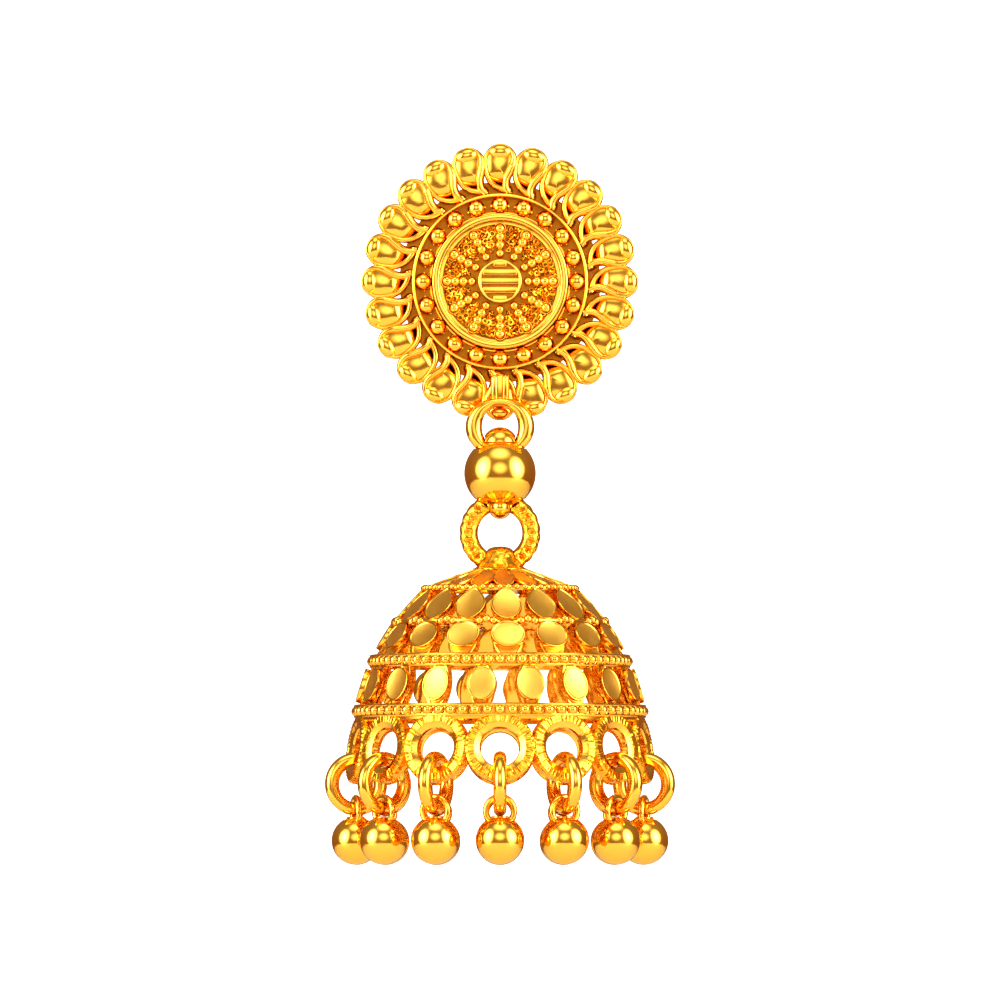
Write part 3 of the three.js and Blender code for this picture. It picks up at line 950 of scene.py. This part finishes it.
@dataclass
class HammeredRing:
    """The round hammered ring between the ball and the bell."""

    golds: Golds
    hole_radius: float = 1.78
    lobes: int = 22
    lobe_depth: float = 0.09
    pit_depth: float = 0.62
    pit_offset: float = 0.1
    pit_width: float = 0.34

    def ring(self, grow: float = 0.0) -> Piece:
        """The ring in its own place: plain where it is a cutter, else with lobes and struck pits.

        Args:
            grow: added to the wire's radius, where the ring is a cutter.

        Returns:
            The ring.
        """
        room = Room.of("lower_ring")
        centre = room.centre
        outer, half_depth = room.high.z - centre.z, room.high.y - centre.y
        middle, half_wire = (outer + self.hole_radius) / 2, (outer - self.hole_radius) / 2
        chance = random.Random(5)
        strikes = [chance.uniform(0.5, 1.0) for _ in range(2 * self.lobes)]

        def place(point: Vector) -> Vector:
            """Lays a round ring in the ring's place and strikes it.

            Args:
                point: a point of a ring of radius 1 and wire radius 0.5.

            Returns:
                Its place on the hammered ring.
            """
            angle = math.atan2(point.y, point.x)
            out = (math.hypot(point.x, point.y) - 1) / UNIT_WIRE
            depth = -point.z / UNIT_WIRE * (half_depth + grow)
            reach = out * (half_wire + grow)
            if not grow:
                turn = self.lobes * angle / TAU
                wave = abs(math.sin(math.pi * turn))
                strike = strikes[int(2 * (turn % self.lobes)) % len(strikes)]
                reach -= max(0.0, out) * self.lobe_depth * (1 - wave) * strike
                across = math.exp(-((out - self.pit_offset) / self.pit_width) ** 2)
                along = (1 - abs(math.sin(math.pi * (turn + 0.5 * out ** 2)))) ** 1.3
                depth *= 1 - self.pit_depth * across * along * strike
            radius = middle + reach
            return centre + Vector((radius * math.cos(angle), depth, radius * math.sin(angle)))
        sides, round_sides = (60, 14) if grow else (264, 26)
        return shaped(wire_ring(1, UNIT_WIRE, sides=sides, round_sides=round_sides), place)

    def build(self) -> None:
        """Finishes the ring."""
        ring = dressed(self.ring(), self.golds.hammered)
        finished(ring, "hammered_ring_gold", Body.RING, Slot.HAMMERED, ["lower_ring"], crease=60)


@dataclass
class ConnectorBall:
    """The polished ball whose cap and foot are cut as eyes for the two rings."""

    golds: Golds
    upper_ring: HangerRing
    lower_ring: HammeredRing
    radius: float = 2.86
    cap_radius: float = 1.45
    cap_rise: float = 0.82
    foot_half_width: float = 0.95
    foot_half_depth: float = 1.4
    foot_fall: float = 0.82
    clearance: float = 0.12
    upper_swing: float = 25
    lower_swing: float = 20
    copies: int = 5

    def build(self) -> None:
        """Joins the ball, cap and foot, and cuts the rings' passages."""
        room = Room.of("connector_ball")
        centre = Vector((0, Room.of("lower_ring").centre.y, room.high.z - self.cap_rise - self.radius))
        body = ball(self.radius, centre, 96, 48)
        cap_up = self.radius + self.cap_rise - self.cap_radius
        cap = ball(self.cap_radius, centre + Vector((0, 0, cap_up)), 64, 32)
        foot_up = self.foot_half_width - self.radius - self.foot_fall
        foot = ball(1, centre + Vector((0, 0, foot_up)), 64, 32)
        foot.scale = (self.foot_half_width, self.foot_half_depth, self.foot_half_width)
        for piece in (cap, foot):
            settle(piece)
            modified(settle(body), "BOOLEAN", operation="UNION", object=piece, solver="EXACT")
            removed(piece)
        for make_ring, swing, joint in ((self.upper_ring.ring, self.upper_swing, "ball_swing"),
                                        (self.lower_ring.ring, self.lower_swing, "ring_swing")):
            pivot = pivot_of(joint)
            for i in range(self.copies):
                angle = math.radians(swing * (2 * i / (self.copies - 1) - 1))
                cutter = make_ring(self.clearance)
                cutter.matrix_world = (Matrix.Translation(pivot) @ Matrix.Rotation(angle, 4, "X")
                                       @ Matrix.Translation(-pivot))
                cut(body, cutter)
        finished(dressed(body, self.golds.polished), "connector_ball_gold", Body.BALL, Slot.POLISHED,
                 ["connector_ball"], crease=40)


def pivot_of(name: str) -> Vector:
    """The point that a joint of the frame turns about, in millimetres."""
    joint = next(joint for joint in frame["joints"] if joint["name"] == name)
    return Vector(joint["pos_m"]) / MM


@dataclass(frozen=True)
class DomeLevel:
    """Where the dome's outside is at one level, in millimetres."""

    radius: float
    height: float


@dataclass
class Dome:
    """The outside of the bell, as the part's source gives it."""

    crown: float
    radius: float = 11.75
    height: float = 12.1
    # Shares of the bell's radius and of its height downwards
    sections: Profile = (
        (0.16, 0.0), (0.34, 0.03), (0.5, 0.12), (0.585, 0.2), (0.7, 0.335), (0.79, 0.47), (0.87, 0.6),
        (0.93, 0.7), (0.965, 0.8), (0.975, 0.9), (0.98, 1.0),
    )

    def point(self, share: float) -> Vector:
        """The point at a share of the way along the smooth line through the sections.

        Args:
            share: how far along, 1 for the rim.

        Returns:
            Shares of the bell's radius and height.
        """
        last = len(self.sections) - 1
        place = min(share, 1.0) * last
        i = min(int(place), last - 1)
        return between([Vector(self.sections[max(0, min(last, i + k))]) for k in (-1, 0, 1, 2)], place - i)

    def at(self, fall: float) -> DomeLevel:
        """The dome's outside at one level, found by halving.

        Args:
            fall: a share of the bell's height below the crown.

        Returns:
            The level.
        """
        low, high = 0.0, 1.0
        for _ in range(30):
            middle = (low + high) / 2
            low, high = (middle, high) if self.point(middle).y < fall else (low, middle)
        return DomeLevel(self.point(low).x * self.radius, self.crown - fall * self.height)

    def lay(self, top: float, foot: float, azimuth: float, lift: float = 0.0, shift: float = 0.0) -> Matrix:
        """Where a plate drawn flat, tip upwards, lies between two levels.

        Args:
            top: the upper level, a share of the bell's height.
            foot: the lower level.
            azimuth: degrees from the front towards +X.
            lift: millimetres out from the dome.
            shift: millimetres up along the dome.

        Returns:
            The plate's placing.
        """
        upper, lower = self.at(top), self.at(foot)
        up = Vector((0, lower.radius - upper.radius, upper.height - lower.height)).normalized()
        across = Vector((1, 0, 0))
        out = across.cross(up)
        middle = Vector((0, -(upper.radius + lower.radius) / 2, (upper.height + lower.height) / 2))
        basis = Matrix((across, up, out)).transposed().to_4x4()
        turn = Matrix.Rotation(math.radians(azimuth), 4, "Z")
        return turn @ Matrix.Translation(middle + out * lift + up * shift) @ basis

    def length(self, top: float, foot: float) -> float:
        """The straight length between two levels."""
        upper, lower = self.at(top), self.at(foot)
        return math.hypot(lower.radius - upper.radius, upper.height - lower.height)


@dataclass(frozen=True)
class Plate:
    """One kind of plate, in millimetres.

    Its length is its own, or else its row's and a little more or less.
    """

    width: float
    thickness: float
    rim: float
    dish: float
    lift: float
    shift: float = 0.0
    point: float = 0.0
    longer: float = 0.0
    own_length: float = 0.0


@dataclass(frozen=True)
class PlateRow:
    """A row of plates between two levels, given as shares of the bell's height, with the kinds laid in it."""

    top: float
    foot: float
    count: int
    first: float
    kinds: Sequence[Plate]


@dataclass
class Bell:
    """The pierced bell: bail, plates, wires, bead bands, flange and rim loops."""

    golds: Golds
    dome: Dome
    axis: Vector
    leaf_wire: float = 0.125
    cluster_wire: float = 0.345
    upper_band: float = 0.6
    lower_band: float = 0.93
    plate_count: int = 16
    upright_count: int = 18
    first_plate: float = 4.0
    first_upright: float = 12.6
    fringe_count: int = 14
    band_bead_count: int = 72
    band_bead: float = 0.42
    band_half_height: float = 0.36
    band_depth: float = 0.5
    flange_width: float = 0.8
    dish_wall: float = 0.04
    granule_lift: float = 0.12
    wire_granule_count: int = 56
    cluster_granule: float = 0.34
    cluster_pitch: float = 0.56
    loop_radius: float = 2.8
    loop_hole: float = 1.54
    loop_depth: float = 1.0
    loop_tilt: float = 8.0
    loop_notches: int = 44
    loop_overlap: float = 0.6
    loop_inset: float = 0.425
    notch_depth: float = 0.07
    notch_inwards: float = 0.012
    bail_foot: float = 2.15
    bail_depth: float = 1.05
    bail_clearance: float = 0.15
    # The bail's outside: shares of its foot's radius and of its height
    bail_outside: Profile = (
        (1.0, -0.1), (0.99, 0.04), (0.9, 0.14), (0.78, 0.3), (0.68, 0.45), (0.62, 0.58), (0.58, 0.7),
        (0.5, 0.84), (0.36, 0.94), (0.18, 0.99), (0.0, 1.0),
    )

    def rows(self) -> list[PlateRow]:
        """The leaves below the bail, then the teardrops, ovals and uprights on their pedestals.

        Returns:
            The rows from the top down.
        """
        return [
            PlateRow(0.0, self.leaf_wire, self.plate_count, self.first_plate, (
                Plate(width=1.75, thickness=0.5, rim=0.12, dish=0.07, lift=0.22, point=0.75, longer=0.1),)),
            PlateRow(self.leaf_wire, self.cluster_wire, self.plate_count, self.first_plate, (
                Plate(width=2.2, thickness=0.75, rim=0.2, dish=0.05, lift=0.0, point=0.8, longer=0.1),
                Plate(width=2.5, thickness=0.5, rim=0.11, dish=0.06, lift=0.25, shift=-0.05, point=0.75,
                      longer=-0.2))),
            PlateRow(self.cluster_wire, self.upper_band, self.plate_count, self.first_plate, (
                Plate(width=2.4, thickness=0.8, rim=0.25, dish=0.05, lift=-0.05),
                Plate(width=2.7, thickness=0.6, rim=0.11, dish=0.06, lift=0.3, shift=0.42, own_length=2.4))),
            PlateRow(self.upper_band, self.lower_band, self.upright_count, self.first_upright, (
                Plate(width=1.95, thickness=0.7, rim=0.25, dish=0.05, lift=-0.1, longer=-0.1),
                Plate(width=2.3, thickness=0.62, rim=0.11, dish=0.05, lift=0.32, own_length=2.8))),
        ]

    def plate(self, kind: Plate, length: float) -> Piece:
        """A plate with a dished satin face inside a polished rim, its face at z = 0.

        Args:
            kind: the plate's sizes.
            length: from tip to foot.

        Returns:
            The plate.
        """
        start()
        bpy.ops.mesh.primitive_circle_add(vertices=32, radius=1, fill_type="NGON")
        piece = bpy.context.object

        def place(spot: Vector) -> Vector:
            """Draws a disc of radius 1 out to the plate's outline and lays it at the plate's back."""
            narrow = 1 - 0.62 * kind.point * max(0.0, spot.y) ** 1.3
            return Vector((spot.x * kind.width / 2 * narrow, spot.y * length / 2, -kind.thickness))
        shaped(piece, place)
        piece.data.materials.append(self.golds.polished)
        piece.data.materials.append(self.golds.satin)
        bpy.ops.object.mode_set(mode="EDIT")
        bpy.ops.mesh.select_all(action="SELECT")
        bpy.ops.mesh.extrude_region_move(TRANSFORM_OT_translate={"value": (0, 0, kind.thickness)})
        bpy.ops.mesh.inset(thickness=kind.rim, depth=0)
        bpy.ops.mesh.inset(thickness=self.dish_wall, depth=-kind.dish)
        bpy.context.object.active_material_index = 1
        bpy.ops.object.material_slot_assign()
        bpy.ops.object.mode_set(mode="OBJECT")
        cleaned(piece)
        return modified(piece, "BEVEL", width=min(0.09, 0.45 * kind.rim), segments=2, limit_method="ANGLE",
                        angle_limit=math.radians(50))

    def plates(self) -> list[Piece]:
        """Each kind of plate, modelled once and laid round the dome in its row.

        Returns:
            The plates.
        """
        made = []
        for row in self.rows():
            for kind in row.kinds:
                length = kind.own_length or self.dome.length(row.top, row.foot) + kind.longer
                pattern = self.plate(kind, length)
                for i in range(row.count):
                    azimuth = row.first + 360 * i / row.count
                    spot = self.dome.lay(row.top, row.foot, azimuth, kind.lift, kind.shift)
                    made.append(copy_at(pattern, spot))
                removed(pattern)
        return made

    def wires(self) -> list[Piece]:
        """The granulated wire above the teardrops and the plain one below them.

        Returns:
            The wires and the granules.
        """
        upper, lower = self.dome.at(self.leaf_wire), self.dome.at(self.cluster_wire)
        upper_wire = wire_ring(upper.radius, 0.2, (0, 0, upper.height), 144)
        bead = ball(0.25, (0, -upper.radius - self.granule_lift, upper.height + 0.1), 12, 8)
        granules = around(dressed(bead, self.golds.polished), self.wire_granule_count)
        lower_wire = wire_ring(lower.radius, 0.22, (0, 0, lower.height), 144)
        return [dressed(upper_wire, self.golds.polished), *granules, dressed(lower_wire, self.golds.polished)]

    def clusters(self) -> list[Piece]:
        """Threes of granules on the wire between the columns of plates.

        Returns:
            The granules.
        """
        place = self.dome.at(self.cluster_wire)
        made = []
        between_plates = self.first_plate + 180 / self.plate_count
        for shift, rise in ((-1, 0.0), (0, 0.14), (1, 0.0)):
            turn = shift * math.degrees(self.cluster_pitch / place.radius)
            spot = (0, -place.radius - self.granule_lift, place.height + rise)
            granule = ball(self.cluster_granule, spot, 16, 10)
            made += around(dressed(granule, self.golds.polished), self.plate_count, between_plates + turn)
        return made

    def bead_band(self, level: float) -> list[Piece]:
        """A band of beads, each in a fine ring, between two wires.

        Args:
            level: the band's middle, a share of the bell's height.

        Returns:
            The band's pieces.
        """
        place = self.dome.at(level)
        radius = place.radius + 0.02
        low, high = place.height - self.band_half_height, place.height + self.band_half_height
        strip = spun(box_profile(radius - self.band_depth, radius - 0.02, low, high), 144)
        made = [dressed(strip, self.golds.polished)]
        for side in (-1, 1):
            wire = wire_ring(radius + 0.06, 0.13, (0, 0, place.height + side * 0.4), 180, 8)
            made.append(dressed(wire, self.golds.polished))
        bead = ball(self.band_bead, (0, -radius + 0.04, place.height), 16, 10)
        collar = wire_ring(self.band_bead - 0.01, 0.06, (0, -radius - 0.08, place.height), 14, 5,
                           (QUARTER, 0, 0))
        return made + around(dressed(joined([bead, collar]), self.golds.polished), self.band_bead_count)

    def flange(self) -> Piece:
        """The smooth flange below the lower band.

        Returns:
            The flange.
        """
        rim, band = self.dome.at(1.0), self.dome.at(self.lower_band)
        inner = rim.radius - self.flange_width
        return dressed(spun([
            (inner, rim.height), (rim.radius - 0.1, rim.height), (rim.radius + 0.02, rim.height + 0.12),
            (band.radius + 0.12, band.height - 0.3), (band.radius - 0.4, band.height - 0.3),
            (inner, band.height), (inner, rim.height),
        ], 144), self.golds.polished)

    def bail(self, ring: HammeredRing) -> Piece:
        """The bail: a small dome on a flared foot, cut by the ring that runs through it.

        Args:
            ring: the ring.

        Returns:
            The bail.
        """
        crown, foot = self.dome.crown, self.bail_foot
        rise = Room.of("bell").high.z - crown
        profile = [(0.0, crown - self.bail_depth), (foot, crown - self.bail_depth)]
        profile += [(foot * radius, crown + share * rise) for radius, share in self.bail_outside]
        piece = spun(profile, 64)
        piece.location = (0, self.axis.y, 0)
        cut(settle(piece), ring.ring(self.bail_clearance))
        lip = wire_ring(foot - 0.06, 0.13, (0, self.axis.y, crown + 0.06), 64, 8)
        return dressed(joined([piece, lip]), self.golds.hammered)

    def loops(self) -> list[Piece]:
        """The hammered loops of the rim, with chased notches on their fronts and a smooth bevel inside.

        Returns:
            The loops.
        """
        hole, outer, half = self.loop_hole, self.loop_radius, self.loop_depth / 2
        section = [
            (hole, -0.62), (hole + 0.1, -0.9), (hole + 0.5, -1), (outer - 0.22, -1), (outer - 0.05, -0.75),
            (outer, -0.3), (outer, 0.3), (outer - 0.05, 0.75), (outer - 0.22, 1), (hole + 0.55, 1),
            (hole + 0.5, 0.88), (hole + 0.08, 0.5), (hole, 0.2), (hole, -0.62),
        ]
        loop = spun([(radius, share * half) for radius, share in section], 4 * self.loop_notches)
        chance = random.Random(14)
        depths = [chance.uniform(0.25, 1.0) for _ in range(self.loop_notches)]
        notched_from = hole + 0.52

        def place(point: Vector) -> Vector:
            """Strikes the notches into the loop's front.

            Args:
                point: a point of the loop.

            Returns:
                Its new place.
            """
            turn = (math.atan2(point.y, point.x) / TAU % 1.0) * self.loop_notches
            notch = (1 - abs(2 * (turn % 1) - 1)) ** 1.5 * depths[int(turn) % self.loop_notches]
            if math.hypot(point.x, point.y) < notched_from or point.z < 0:
                return point
            inwards = 1 - self.notch_inwards * notch
            return Vector((point.x * inwards, point.y * inwards, point.z - self.notch_depth * notch))
        shaped(loop, place)
        dressed(loop, self.golds.hammered)
        loop.data.materials.append(self.golds.polished)
        for face in loop.data.polygons:
            if math.hypot(face.center.x, face.center.y) < notched_from:
                face.material_index = 1
        rim = self.dome.at(1.0)
        tilt = math.radians(self.loop_tilt)
        height = rim.height + self.loop_overlap - outer * math.cos(tilt)
        circle = rim.radius - self.loop_inset + outer * math.sin(tilt)
        loop.matrix_world = Matrix.Translation((0, -circle, height)) @ Matrix.Rotation(QUARTER - tilt, 4, "X")
        return around(loop, self.fringe_count)

    def on_axis(self, pieces: Iterable[Piece]) -> Piece:
        """Joins pieces that are made about Z and moves them to the bell's own axis.

        Args:
            pieces: the pieces.

        Returns:
            The joined piece.
        """
        whole = joined(pieces)
        whole.matrix_world = Matrix.Translation((0, self.axis.y, 0)) @ whole.matrix_world
        return whole

    def build(self, ring: HammeredRing) -> None:
        """Builds the bell in three joined pieces: the pierced dome, the bead bands and the rim loops.

        Args:
            ring: the ring that runs through the bail.
        """
        dome = self.on_axis([*self.plates(), *self.wires(), *self.clusters(), self.flange()])
        finished(joined([dome, self.bail(ring)]), "bell_dome_gold", Body.BELL, Slot.SATIN, ["bell"])
        bands = self.on_axis([*self.bead_band(self.upper_band), *self.bead_band(self.lower_band)])
        finished(bands, "bell_bead_bands_gold", Body.BELL, Slot.GRANULATED)
        finished(self.on_axis(self.loops()), "bell_rim_loops_gold", Body.BELL, Slot.HAMMERED, crease=28)


@dataclass
class Fringe:
    """The links and the fringe balls with their eyes."""

    golds: Golds
    axis: Vector
    count: int = 14
    link_wire: float = 0.52
    eye_radius: float = 1.36
    eye_wire: float = 0.25
    collar_radius: float = 0.62
    collar_wire: float = 0.12

    def build(self) -> None:
        """Models one link and one ball, and copies them round."""
        link_room, drop_room = Room.of("link_01"), Room.of("drop_ball_01")
        link_radius = (link_room.high.z - link_room.low.z) / 2
        link = wire_ring(link_radius - self.link_wire, self.link_wire, sides=64, round_sides=20,
                         turn=(0, QUARTER, 0))
        radius = (drop_room.high.x - drop_room.low.x) / 2
        eye_rise = drop_room.high.z - drop_room.low.z - radius - self.eye_radius
        drop = joined([
            ball(radius, sides=64, rows=36),
            wire_ring(self.eye_radius - self.eye_wire, self.eye_wire, (0, 0, eye_rise), 48, 14,
                      (QUARTER, 0, 0)),
            wire_ring(self.collar_radius, self.collar_wire, (0, 0, radius - 0.14), 40, 8),
        ])
        for i in range(self.count):
            turn = Matrix.Rotation(TAU * i / self.count, 4, "Z")
            for pattern, kind in ((link, "link"), (drop, "drop_ball")):
                node = f"{kind}_{i + 1:02d}"
                room = Room.of(node)
                middle = room.centre
                if pattern is drop:
                    middle.z = room.low.z + radius
                piece = dressed(copy_at(pattern, Matrix.Translation(middle) @ turn), self.golds.polished)
                finished(piece, f"{node}_gold", Body.BELL, Slot.POLISHED, [node])
        removed(link)
        removed(drop)


@dataclass
class Softbox:
    """A glowing panel with soft edges, seen by the gold and not by the camera."""

    name: str
    azimuth: float
    elevation: float
    width: float
    height: float
    glow: float
    distance: float
    core: float = 0.1
    tint: str = "#FFFFFF"

    def build(self, target: Vector) -> None:
        """Hangs the panel so that it faces the object.

        Args:
            target: the point that it faces.
        """
        start()
        around_z, up = math.radians(self.azimuth), math.radians(self.elevation)
        away = Vector((math.sin(around_z) * math.cos(up), -math.cos(around_z) * math.cos(up), math.sin(up)))
        bpy.ops.mesh.primitive_plane_add(size=1, location=target + away * self.distance)
        panel = bpy.context.object
        panel.name = self.name
        panel.scale = (self.width, self.height, 1)
        panel.rotation_euler = away.to_track_quat("Z", "Y").to_euler()
        bpy.ops.object.transform_apply(location=False, rotation=False, scale=True)
        panel.data.materials.append(self.glow_material())
        panel.visible_camera = False
        panel.visible_shadow = False

    def glow_material(self) -> bpy.types.Material:
        """A glow that falls off towards the panel's edges, where it is clear.

        Returns:
            The material.
        """
        material = bpy.data.materials.new(f"{self.name}_cloth")
        material.use_nodes = True
        tree = material.node_tree
        tree.nodes.remove(tree.nodes["Principled BSDF"])
        place = add_node(tree, "ShaderNodeTexCoord").outputs["Object"]
        scaled = add_node(tree, "ShaderNodeVectorMath", {0: place}, operation="MULTIPLY")
        scaled.inputs[1].default_value = (2 / self.width, 2 / self.height, 0)
        reach = add_node(tree, "ShaderNodeVectorMath", {0: scaled.outputs[0]}, operation="LENGTH")
        fall = add_node(tree, "ShaderNodeMapRange", {"Value": reach.outputs["Value"]},
                        {"From Min": self.core, "From Max": 1.0, "To Min": 1.0, "To Max": 0.0},
                        interpolation_type="SMOOTHSTEP")
        glow = add_node(tree, "ShaderNodeEmission",
                        values={"Strength": self.glow, "Color": linear(self.tint)})
        clear = add_node(tree, "ShaderNodeBsdfTransparent")
        mixed = add_node(tree, "ShaderNodeMixShader", {0: fall.outputs["Result"], 1: clear.outputs[0],
                                                      2: glow.outputs[0]})
        tree.links.new(mixed.outputs[0], tree.nodes["Material Output"].inputs["Surface"])
        return material


@dataclass
class Studio:
    """White surroundings, a pale floor, softboxes, a brown card and the camera."""

    target: Vector = field(default_factory=lambda: Vector((0, -0.0015, -0.0175)))
    view_width: float = 0.080
    lens: float = 400.0
    sensor: float = 36.0
    elevation: float = -2.0
    floor_height: float = -0.16
    floor_radius: float = 0.5
    exposure: float = -0.5
    warm_below: Sequence[float] = (0.36, 0.17, 0.07, 1.0)
    white_above: Sequence[float] = (0.48, 0.45, 0.40, 1.0)
    towards_light: Sequence[float] = (0, -0.5, 0.87)
    white_paper: Sequence[float] = (1.6, 1.6, 1.6, 1.0)

    def build(self) -> None:
        """Sets up everything round the object."""
        self.surroundings()
        self.floor()
        # Name, azimuth, elevation, width, height, glow, distance, share that glows in full, tint
        for panel in (
            Softbox("softbox_left", -60, 14, 0.85, 1.1, 8.0, 0.7, 0.0),
            Softbox("softbox_right", 60, 14, 0.85, 1.1, 8.0, 0.7, 0.0),
            Softbox("softbox_top", 0, 66, 1.0, 0.8, 3.2, 0.75, 0.0),
            Softbox("softbox_front", 0, 15, 0.8, 0.62, 2.2, 0.72, 0.2),
            Softbox("brown_card_front", 0, -31, 0.42, 0.38, 0.12, 0.6, 0.5, "#B06A20"),
        ):
            panel.build(self.target)
        self.camera()

    def surroundings(self) -> None:
        """Soft light from above and in front, white to the camera, and plain colour management."""
        scene = bpy.context.scene
        world = bpy.data.worlds.new("soft_surroundings")
        world.use_nodes = True
        tree = world.node_tree
        background = tree.nodes["Background"]
        place = add_node(tree, "ShaderNodeTexCoord").outputs["Generated"]
        rise = add_node(tree, "ShaderNodeVectorMath", {0: place}, {1: self.towards_light},
                        operation="DOT_PRODUCT")
        share = add_node(tree, "ShaderNodeMapRange", {"Value": rise.outputs["Value"]},
                         {"From Min": -0.7, "From Max": 0.9})
        glow = add_node(tree, "ShaderNodeMix", {"Factor": share.outputs["Result"]}, data_type="RGBA")
        glow.inputs[6].default_value = self.warm_below
        glow.inputs[7].default_value = self.white_above
        to_camera = add_node(tree, "ShaderNodeLightPath").outputs["Is Camera Ray"]
        seen = add_node(tree, "ShaderNodeMix", {"Factor": to_camera}, data_type="RGBA")
        tree.links.new(glow.outputs[2], seen.inputs[6])
        seen.inputs[7].default_value = self.white_paper
        tree.links.new(seen.outputs[2], background.inputs["Color"])
        scene.world = world
        scene.view_settings.view_transform = "Standard"
        scene.view_settings.look = "High Contrast"
        scene.view_settings.exposure = self.exposure

    def floor(self) -> None:
        """A plain pale round table top well below the drops."""
        start()
        bpy.ops.mesh.primitive_circle_add(vertices=96, radius=self.floor_radius, fill_type="NGON",
                                          location=(0, 0, self.floor_height))
        floor = bpy.context.object
        floor.name = "pale_floor"
        material = bpy.data.materials.new("matt_white_paint")
        material.use_nodes = True
        shader = material.node_tree.nodes["Principled BSDF"]
        shader.inputs["Base Color"].default_value = linear("#F4F3F1")
        shader.inputs["Roughness"].default_value = 0.8
        floor.data.materials.append(material)

    def camera(self) -> None:
        """A long lens, a little below the middle of the earring, as in the photograph."""
        distance = self.view_width * self.lens / self.sensor
        up = math.radians(self.elevation)
        away = Vector((0, -math.cos(up), math.sin(up)))
        data = bpy.data.cameras.new("camera")
        data.lens = self.lens
        data.sensor_width = self.sensor
        data.clip_start = 0.01
        camera = bpy.data.objects.new("camera", data)
        camera.location = self.target + away * distance
        camera.rotation_euler = away.to_track_quat("Z", "Y").to_euler()
        bpy.context.collection.objects.link(camera)
        bpy.context.scene.camera = camera


def main() -> None:
    """Builds the earring's pieces in order."""
    logging.basicConfig(level=logging.INFO, format="%(message)s")
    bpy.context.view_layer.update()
    Studio().build()
    golds = Golds()
    PetalWreath(golds).build()
    BeadTray(golds).build()
    CentreDisc(golds).build()
    EarPost(golds).build()
    hanger = HangerRing(golds)
    hanger.build()
    ring = HammeredRing(golds)
    ring.build()
    ConnectorBall(golds, hanger, ring).build()
    ring_room = Room.of("lower_ring")
    dome = Dome(crown=ring_room.low.z + CROWN_ABOVE_RING)
    Bell(golds, dome, ring_room.centre).build(ring)
    Fringe(golds, ring_room.centre).build()
    start()


if __name__ == "__main__":
    main()
